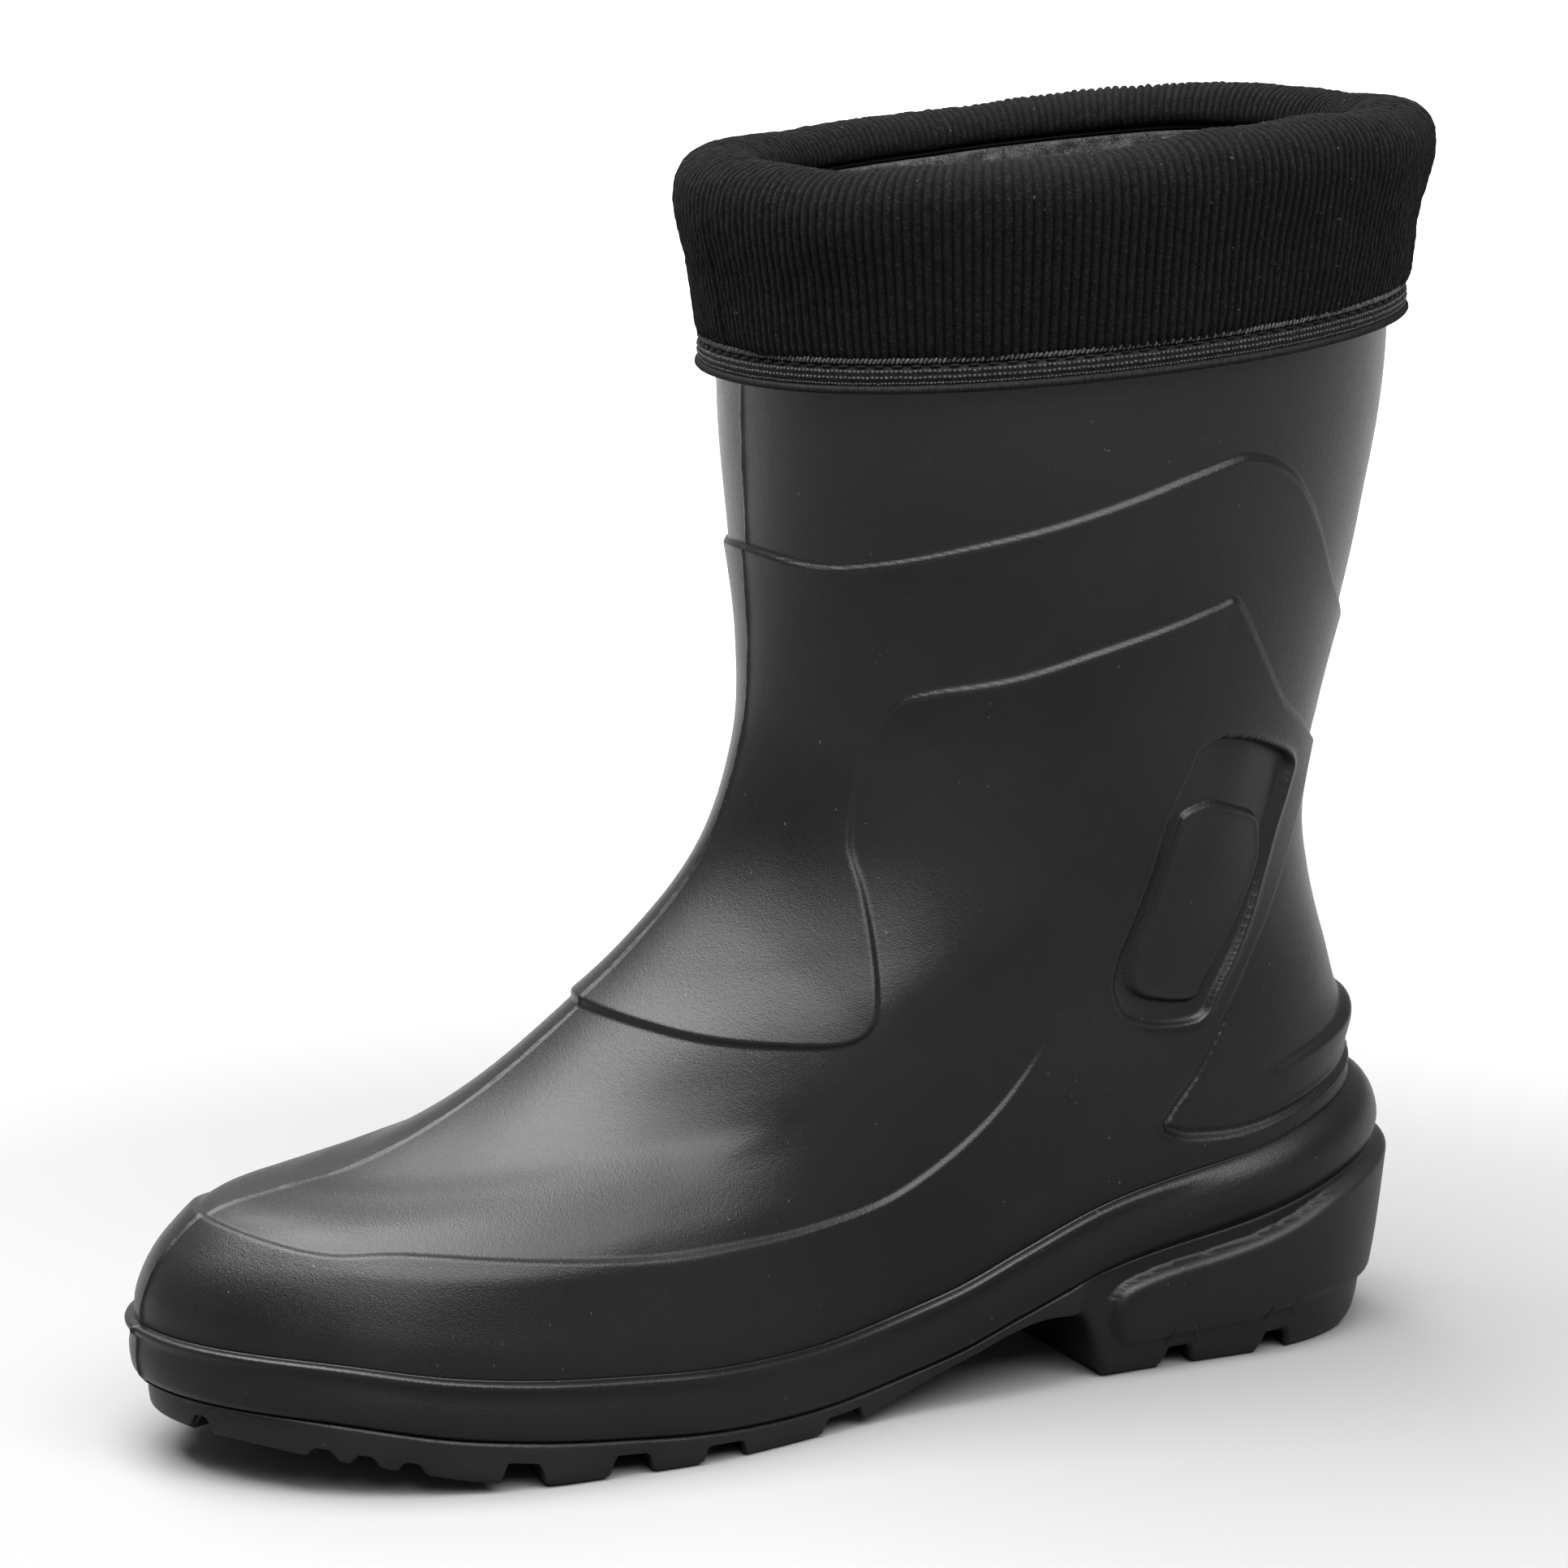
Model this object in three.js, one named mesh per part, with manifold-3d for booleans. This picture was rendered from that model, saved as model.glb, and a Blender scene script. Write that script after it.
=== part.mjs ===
// Mid-calf stable boot: a moulded foam-rubber wellington (left foot) with a removable
// fleece sock liner whose ribbed cuff is folded out over the top of the shaft.
// Millimetres, +Z up, toe towards -Y, outer (lateral) side towards +X, sole on z = 0.
import * as THREE from 'three';
import { mergeVertices } from 'three/addons/utils/BufferGeometryUtils.js';
import Module from 'manifold-3d';

const wasm = await Module();
wasm.setup();

// ---------------------------------------------------------------- driving dimensions
const WALL = 4.5;            // thickness of the moulded upper
const GAP = 0.4;             // clearance between separate pieces
const FLEECE = 3;            // thickness of the liner fabric
const FLOOR = 7.5;           // moulded floor above the parting line
const INSOLE = 4;            // footbed thickness
const SHAFT_TOP = 258;       // mean height of the shaft's top edge
const HEM_TILT = 5.5;        // the hem climbs this much from mid shaft to its back
const RIM_TILT = 3;          // and the top edge this much
const SHAFT_MID = 66;        // y of the shaft's middle at its top
const CUFF_LOW = 228.6;      // lower edge of the ribbed cuff, above the hem binding
const JOIN_Z = 261;          // where the cuff is sewn to the fleece, inside the rim
const AROUND = 60;           // points round an outer ring, a multiple of 4

// Key rings that climb the boot. Each runs round the whole body: front end, back end,
// how much of the sole's curve it keeps, half widths at ball, waist and heel, then the
// length and roundness of its front end and of its back end, and a factor for the
// inner side of the ball.
const RINGS = [
  // frontY, frontZ, backY, backZ, bow, ball, waist, heel, frontR, frontP, backR, backP, inner
  [-144.2, 18.3, 143, 44, 1, 51.5, 40, 37.5, 76, 1.95, 48, 2.15, 0.95],
  [-145, 30, 137.2, 59, 1, 51, 40, 36.5, 77, 1.92, 48, 2.1, 0.95],
  [-142.6, 39, 135.8, 68, 0.85, 49, 40, 35.5, 78, 1.92, 48, 2.05, 0.95],
  [-137.5, 46.5, 134.5, 76, 0.7, 47.5, 40.5, 35, 80, 1.9, 48, 2, 0.95],
  [-128, 53.5, 132, 85, 0.52, 46, 41, 35, 84, 1.9, 49, 2, 0.96],
  [-113, 57.3, 129.5, 93, 0.38, 44.5, 41, 35.2, 86, 1.88, 50, 2, 0.97],
  [-97, 60.5, 127.5, 100, 0.26, 43.5, 41, 35.8, 86, 1.86, 51, 2, 0.98],
  [-78.5, 67.1, 126, 106.5, 0.14, 42.5, 41, 36.8, 84, 1.8, 52, 2, 0.99],
  [-60, 77.2, 125, 112, 0.06, 42, 41.3, 38, 80, 1.74, 54, 2, 1],
  [-36.6, 94.8, 124.5, 118, 0, 42.5, 42.3, 40, 76, 1.66, 56, 2, 1],
  [-17.5, 116, 124.8, 125, 0, 44, 44, 43, 70, 1.66, 60, 2, 1],
  [-8.4, 138.4, 125.5, 137, 0, 46.5, 46.5, 46.5, 67, 1.72, 64, 2, 1],
  [-6.3, 159.1, 129.5, 157, 0, 50, 50, 50, 68, 1.86, 67, 2, 1],
  [-7, 183, 135, 183, 0, 54.5, 54.5, 54.5, 72, 2.02, 71, 2, 1],
  [-8.1, 213, 140, 213, 0, 58, 58, 58, 74, 2.15, 74, 2, 1],
  [-8.1, SHAFT_TOP, 140, SHAFT_TOP, 0, 58, 58, 58, 74, 2.15, 74, 2, 1],
];
const TOP = RINGS.length - 1;

// The parting line between upper and sole unit, seen from the side: height against y.
const PARTING = [
  [-146, 18.3], [-119, 16], [-95, 12], [-60, 8.2], [-30, 6.3], [-8, 6.5], [8, 8.8],
  [23, 12.5], [38, 18], [59, 25], [98, 32.2], [127, 39.5], [145, 44.5],
];
const BALL_Y = -48, WAIST_Y = 18, HEEL_Y = 85;

// Relief lines of the upper in side view (y, z); both sides of the boot carry them.
const SHAFT_LIP = [
  [-12, 184], [-2, 180], [9, 182], [23, 186], [38, 190], [55, 195], [69, 199], [82, 201],
  [94, 196], [103, 186], [113, 171], [123, 161], [133, 153],
];
const PANEL_LIP = [
  [9, 144], [12, 151], [18, 154], [33, 157], [49, 162], [63, 166], [77, 170], [81, 171],
  [84, 168], [93, 155], [100, 146], [108, 140], [116, 134],
];
const TONGUE_EDGE = [
  [9, 144], [7, 140], [5, 128], [4, 120], [5, 112], [5, 101], [4, 91], [2, 85], [-4, 82],
  [-16, 82], [-29, 83], [-39, 85], [-50, 88],
];
const VAMP_LIP = [
  [-131, 51], [-116, 48], [-101, 48], [-78, 46], [-52, 44], [-34, 44], [-14, 45], [7, 49],
  [26, 60], [40, 73], [48, 85],
];
const ANKLE_POCKET = [
  [84, 140], [76, 138], [72, 128], [68, 111], [62, 93], [61, 87], [65, 80], [74, 77], [83, 78],
  [87, 83], [93.5, 94], [102, 118], [105.5, 131], [101, 135],
];
const ANKLE_PAD = [
  [84, 125], [77, 124], [73, 119], [68, 101], [65, 89], [70, 83], [80, 82], [84, 85], [95, 103],
  [98, 113], [96, 121],
];
const HEEL_RIDGE = [[112, 137], [111, 128], [110, 115], [102, 97], [88, 74], [75, 55]];

// Tread grooves along each edge of the sole: y, width at the ground, depth, reach inwards.
const GROOVES = [
  [-119.5, 5.5, 2.2, 8], [-112, 5.5, 2.2, 8], [-103.5, 5.5, 2.2, 9], [-81.5, 8.5, 4.6, 30],
  [-58, 9, 4.6, 32], [-36.5, 9.5, 4.6, 30], [-6, 10, 3.6, 22], [80, 7, 4.6, 18],
  [104.5, 7, 4.6, 18],
];
const GROOVE_SLANT = 0.14;
// Shallow V-shaped grooves down the middle: y of the point, width, depth, arm, arm's angle.
const CHEVRONS = [
  [-96, 4, 2.6, 20, 0.5], [-71, 4, 3, 21, 0.5], [-49, 4, 3, 21, 0.5], [-26, 4, 3, 19, 0.5],
  [92, 4, 3, 17, 0.4],
];

// ---------------------------------------------------------------- small maths
const clamp = (v, a = 0, b = 1) => Math.min(b, Math.max(a, v));
const mix = (a, b, t) => a + (b - a) * t;
const ease = (t) => { const c = clamp(t); return c * c * (3 - 2 * c); };

// Smooth curve through rows of numbers at the given stations.
function spline(x, stations, values) {
  let i = 0;
  while (i < stations.length - 2 && x >= stations[i + 1]) i += 1;
  const h = stations[i + 1] - stations[i];
  const t = (x - stations[i]) / h;
  const rise = (k) => (values[k + 1] - values[k]) / (stations[k + 1] - stations[k]);
  const m0 = i === 0 ? rise(0) : 0.5 * (rise(i - 1) + rise(i));
  const m1 = i === stations.length - 2 ? rise(i) : 0.5 * (rise(i) + rise(i + 1));
  return (2 * t ** 3 - 3 * t ** 2 + 1) * values[i] + (t ** 3 - 2 * t ** 2 + t) * h * m0
    + (-2 * t ** 3 + 3 * t ** 2) * values[i + 1] + (t ** 3 - t ** 2) * h * m1;
}

const ringIndex = RINGS.map((_, i) => i);
const ringAt = (u) => RINGS[0].map((_, c) => spline(u, ringIndex, RINGS.map((r) => r[c])));
const partingY = PARTING.map((p) => p[0]);
const partingZ = PARTING.map((p) => p[1]);
const partingAt = (y) => spline(clamp(y, -146, 145), partingY, partingZ);

// Signed distance from (y, z) to an open line: positive on its left going along it.
function sideDistance(y, z, line) {
  let best = 1e9, sign = 1;
  for (let i = 0; i < line.length - 1; i += 1) {
    const [ay, az] = line[i], [by, bz] = line[i + 1];
    const dy = by - ay, dz = bz - az;
    const t = clamp(((y - ay) * dy + (z - az) * dz) / (dy * dy + dz * dz));
    const d = Math.hypot(y - ay - t * dy, z - az - t * dz);
    if (d < best) { best = d; sign = Math.sign(dy * (z - az) - dz * (y - ay)) || 1; }
  }
  return best * sign;
}

function inside(y, z, loop) {
  let odd = false;
  for (let i = 0, j = loop.length - 1; i < loop.length; j = i, i += 1) {
    const [ay, az] = loop[i], [by, bz] = loop[j];
    if ((az > z) !== (bz > z) && y < ((by - ay) * (z - az)) / (bz - az) + ay) odd = !odd;
  }
  return odd;
}
const loopDistance = (y, z, loop) => Math.abs(sideDistance(y, z, [...loop, loop[0]]))
  * (inside(y, z, loop) ? 1 : -1);

// ---------------------------------------------------------------- body surface
// Point of the bare body on ring u at angle a: 0 is the front, a quarter turn is the
// outer side, half a turn is the back.
// How much of its half width the vamp gives up above its lip, ring by ring, which makes
// it slope in like a roof instead of rising as a wall.
const SLOPE = [
  [3, 0], [3.5, 0.03], [4, 0.078], [5, 0.14], [6, 0.17], [7, 0.14], [8, 0.07], [9, 0],
];
const SLOPE_U = SLOPE.map((r) => r[0]), SLOPE_SHARE = SLOPE.map((r) => r[1]);
function slopeIn(u, y) {
  if (u <= 3 || u >= 9) return 0;
  return spline(u, SLOPE_U, SLOPE_SHARE) * ease((y + 128) / 25) * (1 - ease((y + 45) / 55));
}

function bodyPoint(u, a) {
  const [yf, zf, yb, zb, bow, ball, waist, heel, fr, fp, br, bp, inner] = ringAt(u);
  const y = mix(yf, yb, 0.5 - 0.5 * Math.cos(a));
  const side = Math.abs(Math.sin(a)) < 1e-9 ? 0 : Math.sign(Math.sin(a));
  const wide = side < 0 ? ball * inner : ball;
  const width = y < WAIST_Y ? mix(wide, waist, ease((y - BALL_Y) / (WAIST_Y - BALL_Y)))
    : mix(waist, heel, ease((y - WAIST_Y) / (HEEL_Y - WAIST_Y)));
  const front = (1 - (1 - clamp((y - yf) / fr)) ** fp) ** (1 / fp);
  const back = (1 - (1 - clamp((yb - y) / br)) ** bp) ** (1 / bp);
  const level = mix(RINGS[0][1], RINGS[0][3], (y - RINGS[0][0]) / (RINGS[0][2] - RINGS[0][0]));
  const z = mix(zf, zb, (y - yf) / (yb - yf)) + bow * (partingAt(y) - level);
  return new THREE.Vector3(side * width * front * back * (1 - slopeIn(u, y)), y, z);
}

function bodyNormal(u, a) {
  const du = 0.03, da = 0.02;
  const low = bodyPoint(Math.max(u - du, 0), a), high = bodyPoint(Math.min(u + du, TOP), a);
  const before = bodyPoint(u, a - da), after = bodyPoint(u, a + da);
  return after.sub(before).cross(high.sub(low)).normalize();
}

const offsetPoint = (u, a, d) => bodyPoint(u, a).addScaledVector(bodyNormal(u, a), d);

// Height of the moulded relief above the bare body.
const lip = (d, height, fall) => height * ease(0.4 - d / 4) * Math.exp(Math.min(d, 0) / fall);
function relief(y, z) {
  let r = lip(sideDistance(y, z, SHAFT_LIP), 1.3, 16);
  if (y > 4) r += lip(sideDistance(y, z, PANEL_LIP), 1.3, 14);
  if (y < 52) r += lip(sideDistance(y, z, VAMP_LIP), 1.3, 12);
  const tongue = sideDistance(y, z, TONGUE_EDGE);
  if (z < 150 && tongue < 0) r += 1.3 * ease(0.4 - tongue / 4) * Math.exp(tongue / 22);
  r -= 1.6 * ease(loopDistance(y, z, ANKLE_POCKET) / 4);
  r += 1.4 * ease(loopDistance(y, z, ANKLE_PAD) / 4);
  const ridge = sideDistance(y, z, HEEL_RIDGE);
  r += 1.4 * Math.exp(-((ridge / 4) ** 2));
  return r;
}

// Profile of the band round the foot, from the parting line (0) to its top edge (1):
// a face with a bead on top along the foot, one fat roll round the heel.
const BAND_S = [0, 0.2, 0.45, 0.7, 0.86, 1];
const BAND_FOOT = [0.2, 0.9, 0.9, 0.5, 1.6, -0.6];
const BAND_HEEL = [-0.8, 1.6, 2.8, 2.2, 1, -0.8];
const bandOut = (s, y) => mix(spline(s, BAND_S, BAND_FOOT), spline(s, BAND_S, BAND_HEEL),
  ease((y - 40) / 60));

function shellPoint(u, a) {
  const p = bodyPoint(u, a);
  const out = u <= 1 ? bandOut(u, p.y)
    : relief(p.y, p.z) * ease((u - 1) / 0.5) * (u > TOP - 1.5 ? 0 : 1) - 0.6 * ease(1.6 - u);
  const point = p.addScaledVector(bodyNormal(u, a), out);
  // the heel spur: a ledge that grows out of the back just above the band
  const spur = Math.exp(-(((point.z - 69) / 5) ** 2)) * ease((point.y - 104) / 28);
  point.y += 1.8 * spur;
  return point;
}

// ---------------------------------------------------------------- building solids
// Rings of points joined side by side; a ring may have half the points of the one before.
// The first and last ring are closed across from their outer to their inner side.
function ringSolid(rings) {
  const vertices = rings.flat().flatMap((p) => [p.x, p.y, p.z]);
  const index = [];
  let start = 0;
  const cap = (first, n, flip) => {
    for (let j = 0; j < n / 2; j += 1) {
      const [a, b] = [first + j, first + j + 1];
      const [c, d] = [first + ((n - j) % n), first + n - j - 1];
      const faces = [[a, c, d], [a, d, b]].filter((f) => new Set(f).size === 3);
      faces.forEach((f) => index.push(...(flip ? [f[0], f[2], f[1]] : f)));
    }
  };
  cap(0, rings[0].length, false);
  for (let i = 0; i < rings.length - 1; i += 1) {
    const n = rings[i].length, m = rings[i + 1].length, next = start + n;
    for (let j = 0; j < n; j += 1) {
      const k = (j + 1) % n;
      if (m === n) {
        index.push(start + j, start + k, next + k, start + j, next + k, next + j);
      } else {
        const p = Math.floor(j / 2), q = ((j + 1) >> 1) % m;
        index.push(start + j, start + k, next + q);
        if (p !== q) index.push(start + j, next + q, next + p);
      }
    }
    start = next;
  }
  cap(start, rings[rings.length - 1].length, true);
  return geometry(vertices, index);
}

// A closed section swept round a closed path: rows[i][j] is section point j at station i.
function loopSolid(rows) {
  const n = rows.length, m = rows[0].length, index = [];
  for (let i = 0; i < n; i += 1) {
    for (let j = 0; j < m; j += 1) {
      const a = i * m + j, b = i * m + ((j + 1) % m);
      const c = ((i + 1) % n) * m + ((j + 1) % m), d = ((i + 1) % n) * m + j;
      index.push(a, b, c, a, c, d);
    }
  }
  return geometry(rows.flat().flatMap((p) => [p.x, p.y, p.z]), index);
}

// A sheet with thickness: two matching grids of points joined round their edges.
function slabSolid(outer, inner) {
  const n = outer.length, m = outer[0].length, total = n * m, index = [];
  const quad = (a, b, c, d) => index.push(a, b, c, a, c, d);
  for (let i = 0; i < n - 1; i += 1) {
    for (let j = 0; j < m - 1; j += 1) {
      const a = i * m + j, b = a + 1, c = b + m, d = a + m;
      quad(a, b, c, d);
      quad(total + b, total + a, total + d, total + c);
    }
  }
  for (let j = 0; j < m - 1; j += 1) {
    const t = (n - 1) * m + j;
    quad(total + j, total + j + 1, j + 1, j);
    quad(t, t + 1, total + t + 1, total + t);
  }
  for (let i = 0; i < n - 1; i += 1) {
    const l = i * m, r = i * m + m - 1;
    quad(l, l + m, total + l + m, total + l);
    quad(r + m, r, total + r, total + r + m);
  }
  return geometry([...outer.flat(), ...inner.flat()].flatMap((p) => [p.x, p.y, p.z]), index);
}

function geometry(vertices, index) {
  const g = new THREE.BufferGeometry();
  g.setAttribute('position', new THREE.Float32BufferAttribute(vertices, 3));
  g.setIndex(index);
  return volume(g) < 0 ? flipped(g) : g;
}

function volume(g) {
  const p = g.attributes.position, ix = g.index, v = [0, 1, 2].map(() => new THREE.Vector3());
  let sum = 0;
  for (let i = 0; i < ix.count; i += 3) {
    v.forEach((w, k) => w.fromBufferAttribute(p, ix.getX(i + k)));
    sum += v[0].dot(v[1].clone().cross(v[2])) / 6;
  }
  return sum;
}

function flipped(g) {
  const ix = Array.from(g.index.array);
  for (let i = 0; i < ix.length; i += 3) [ix[i + 1], ix[i + 2]] = [ix[i + 2], ix[i + 1]];
  return g.setIndex(ix);
}

function toSolid(g) {
  const bare = g.clone();
  bare.deleteAttribute('normal');
  bare.deleteAttribute('uv');
  const merged = mergeVertices(bare, 1e-4);
  return new wasm.Manifold(new wasm.Mesh({
    numProp: 3,
    vertProperties: new Float32Array(merged.attributes.position.array),
    triVerts: new Uint32Array(merged.index.array),
  }));
}

function fromSolid(solid) {
  const m = solid.getMesh();
  return geometry(Array.from(m.vertProperties), Array.from(m.triVerts));
}

const angles = (n, from = 0, to = 2 * Math.PI, closed = true) =>
  Array.from({ length: n }, (_, j) => mix(from, to, j / (closed ? n : n - 1)));
const steps = (from, to, n) => Array.from({ length: n }, (_, i) => mix(from, to, i / (n - 1)));

// ---------------------------------------------------------------- upper
// Small shear that makes the shaft's top, the cuff and the hem climb towards the back.
function tilt(p) {
  const t = mix(HEM_TILT, RIM_TILT, clamp((p.z - 217) / (SHAFT_TOP - 217)));
  const lift = ((t * (p.y - SHAFT_MID)) / 74) * ease((p.z - 170) / 60);
  return new THREE.Vector3(p.x, p.y, p.z + lift);
}

const INNER_U = [14, ...steps(13, 3, 13), 2.2, 1.5];

function makeShell() {
  const around = angles(AROUND), innerAround = angles(AROUND / 2);
  const outerU = [...steps(0, 0.86, 5), ...steps(1, 10, 28), ...steps(10.4, 13.6, 10), 14, TOP];
  const innerU = [TOP, ...INNER_U, 0.9];
  const outer = outerU.map((u) => around.map((a) => tilt(shellPoint(u, a))));
  const inner = innerU.map((u) => innerAround.map((a) => {
    const p = offsetPoint(u, a, -WALL);
    p.z = Math.max(p.z, partingAt(p.y) + FLOOR + 2);
    return tilt(p);
  }));
  inner.push(inner[inner.length - 1].map((p) => new THREE.Vector3(
    p.x * 0.97, mix(p.y, 0, 0.01), partingAt(p.y) + FLOOR)));
  return ringSolid([...outer, ...inner]);
}

// ---------------------------------------------------------------- sole unit
const SOLE_BOTTOM = [
  [-146, 10.5], [-125, 8.5], [-105, 5], [-90, 2], [-74, 0], [-14, 0], [-2, 0.8], [8, 4],
  [20, 8.5], [32, 13], [44, 16], [55.5, 15.5],
];
function soleBottom(y) {
  if (y > 55.6) return y < 62 ? mix(15, 0, (y - 55.6) / 6.4) : 0.2 * Math.max(0, (y - 128) / 4) ** 2;
  return Math.max(0, spline(y, SOLE_BOTTOM.map((p) => p[0]), SOLE_BOTTOM.map((p) => p[1])));
}

// Wall of the sole unit from the parting line (0) to the ground (1).
const SOLE_S = [0, 0.16, 0.23, 0.31, 0.55, 0.8, 0.86, 1];
const HEEL_OUT = [-0.6, 0, -1.2, 2.6, 1.8, -1.2, -3.2, -4.6];
const FOOT_OUT = [0, 0.2, 0.2, 0.2, 0.1, -0.1, -0.3, -0.6];

// A trapezoid bar along +X from the origin, opening downwards.
function grooveCutter(width, depth, length) {
  const w = width / 2, profile = new THREE.Shape();
  profile.moveTo(-w - 1, -12).lineTo(w + 1, -12).lineTo(w, 0).lineTo(w - 1.2, depth)
    .lineTo(1.2 - w, depth).lineTo(-w, 0).closePath();
  return new THREE.ExtrudeGeometry(profile, { depth: length, bevelEnabled: false })
    .rotateX(Math.PI / 2).rotateZ(Math.PI / 2);
}

function makeOutsole() {
  const [yf, , yb] = ringAt(0);
  const stations = [
    ...[0, 0.8, 3, 7, 13, 20, 28, 38, 50, 62, 74, 86, 98, 110, 122, 134].map((v) => yf + v),
    0, 10, 20, 30, 40, 49, 55.5, 59, 62, 66, 74, 84, 94, 104, 112, 120, 127, 133, 138, 141.5, yb,
  ];
  const half = stations.map((y) => Math.acos(clamp(1 - (2 * (y - yf)) / (yb - yf), -1, 1)));
  const around = [...half, ...half.slice(1, -1).reverse().map((a) => 2 * Math.PI - a)];
  const rings = SOLE_S.map((s, k) => around.map((a) => {
    const p = bodyPoint(0, a);
    const n = bodyNormal(0.02, a).setZ(0).normalize();
    const top = partingAt(p.y) - GAP - (k === 0 ? 0 : 0.3);
    const bottom = Math.min(soleBottom(p.y), top - 2.2);
    const toe = k === 0 ? 0 : 2.4 * ease((-118 - p.y) / 20);
    const out = mix(FOOT_OUT[k] - toe, HEEL_OUT[k], ease((p.y - 58) / 8));
    p.addScaledVector(n, out);
    p.z = k === 0 ? partingAt(p.y) - GAP : mix(top, bottom, s);
    return p;
  }));
  let solid = toSolid(ringSolid(rings));
  const edgeAt = (y, side) => {
    const a = Math.acos(1 - (2 * (y - yf)) / (yb - yf));
    return Math.abs(bodyPoint(0, side > 0 ? a : 2 * Math.PI - a).x);
  };
  const cut = (x, y, z, width, depth, length, turn) => {
    const cutter = grooveCutter(width, depth, length).rotateZ(turn).translate(x, y, z);
    solid = solid.subtract(toSolid(cutter));
  };
  for (const side of [1, -1]) {
    const outward = side > 0 ? 0 : Math.PI;
    for (const [y, width, depth, reach] of GROOVES) {
      cut(side * (edgeAt(y, side) - reach), y + GROOVE_SLANT * reach, soleBottom(y), width,
        depth, 60, outward - side * GROOVE_SLANT);
    }
    cut(side * 7, -126, 9.6, 5, 3.4, 40, -Math.PI / 2 + side * 0.6);
    for (const [y, width, depth, arm, angle] of CHEVRONS) {
      cut(-side * 0.8, y, soleBottom(y), width, depth, arm, outward + side * angle);
    }
  }
  return fromSolid(solid);
}

// ---------------------------------------------------------------- footbed and liner
// A flat piece that follows the boot's floor.
function floorPiece(inset, low, high) {
  const around = angles(AROUND / 2);
  const row = (z, shrink) => around.map((a) => {
    const p = offsetPoint(0.95, a, -inset - shrink);
    return new THREE.Vector3(p.x, p.y, partingAt(p.y) + z);
  });
  return ringSolid([row(low, 0.6), row(low + 0.8, 0), row(high - 0.8, 0), row(high, 0.8)]);
}

const LINER_OUT = WALL + 1.3, LINER_IN = LINER_OUT + FLEECE;
const TAPE_FRONT = 0.16, TAPE_BACK = 0.14;     // half angle covered by each seam tape
const linerU = [1.12, ...INNER_U.slice().reverse()];

function linerGrid(from, to, count, offset) {
  const list = angles(count, from, to, false);
  const rows = linerU.map((u) => list.map((a) => tilt(offsetPoint(u, a, -offset))));
  const top = list.map((a) => {
    const p = offsetPoint(TOP - 0.5, a, -offset);
    p.z = JOIN_Z - 2.6 - GAP + settleAt(a);
    return tilt(p);
  });
  return [...rows, top];
}
const linerPart = (from, to, count, out = LINER_OUT, into = LINER_IN) =>
  slabSolid(linerGrid(from, to, count, out), linerGrid(from, to, count, into));

// ---------------------------------------------------------------- cuff and hem
// How far the soft crest has settled below or risen above its mean height, going round
// the opening from the front by the outer side: angle in degrees, height.
const SETTLE = [
  [0, -4.5], [15, -4.6], [35, -3.9], [50, -3.2], [70, -2], [83, -0.2], [100, 2], [118, 1.3],
  [135, 0], [150, -0.3], [165, -0.8], [185, -1.7], [205, -2.1], [225, -1.7], [245, -2.2],
  [260, -3], [275, -4], [300, -4.1], [320, -3.6], [340, -4], [360, -4.5],
];
const settleAt = (a) => {
  const turn = ((a * 180 / Math.PI) % 360 + 360) % 360;
  return spline(turn, SETTLE.map((r) => r[0]), SETTLE.map((r) => r[1]));
};
const SEAT = 258.6;          // the fold never drops below this where it lies on the shaft

// Sections given as (distance outside the shaft's face, height), swept round the shaft.
function cuffRing(section, count = 48) {
  return loopSolid(angles(count).map((a) => section.map(([out, z]) => {
    const p = offsetPoint(TOP - 0.5, a, out);
    let height = z + settleAt(a) * ease((z - 236) / 22);
    if (out > -5 && out < 2 && z > SEAT) height = Math.max(height, SEAT);
    return tilt(new THREE.Vector3(p.x, p.y, height));
  })));
}

const CUFF = [
  [0.8, CUFF_LOW], [3.2, CUFF_LOW], [5.4, 240], [7.2, 250], [8.4, 257], [7.6, 262.4],
  [4, 266.4], [-1.6, 267.6], [-6.8, 265.8], [-9.4, 262.8], [-9.4, JOIN_Z], [-WALL - 1.3, JOIN_Z],
  [-4.6, 262.2], [-1.6, 262.4], [1.4, 260.2], [2.2, 251],
];
const HEM_OVERLOCK = [[0.8, 227.4], [3.4, 227.2], [3.9, 227.7], [3.4, 228.3], [0.8, 228.3]];
const HEM_BAND = [[0.8, 224], [3.8, 223.8], [4.1, 225.4], [3.6, 226.9], [0.8, 227]];
const HEM_ROLL = [[0.8, 221.7], [3.4, 221.4], [4.4, 222.4], [3.6, 223.4], [0.8, 223.5]];
const JOIN = [[-WALL - 1.1, 258.8], [-WALL - 1.1, 260.5], [-7.8, 260.5], [-8.2, 258.8]];

// ---------------------------------------------------------------- assembly
const RUBBER = { color: 0x1b1b1d, roughness: 0.62, metalness: 0 };
const SOLE = { color: 0x171719, roughness: 0.7, metalness: 0 };
const FLEECE_LOOK = { color: 0x343a36, roughness: 1, metalness: 0 };
const RIBBED = { color: 0x25222a, roughness: 0.95, metalness: 0 };
const THREAD = { color: 0x2c2c2e, roughness: 0.7, metalness: 0 };

const boot = new THREE.Group();
boot.position.y = -1;        // puts the origin under the middle of the whole boot
function add(name, shape, look) {
  const mesh = new THREE.Mesh(shape, new THREE.MeshStandardMaterial(look));
  mesh.name = name;
  boot.add(mesh);
}

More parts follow.
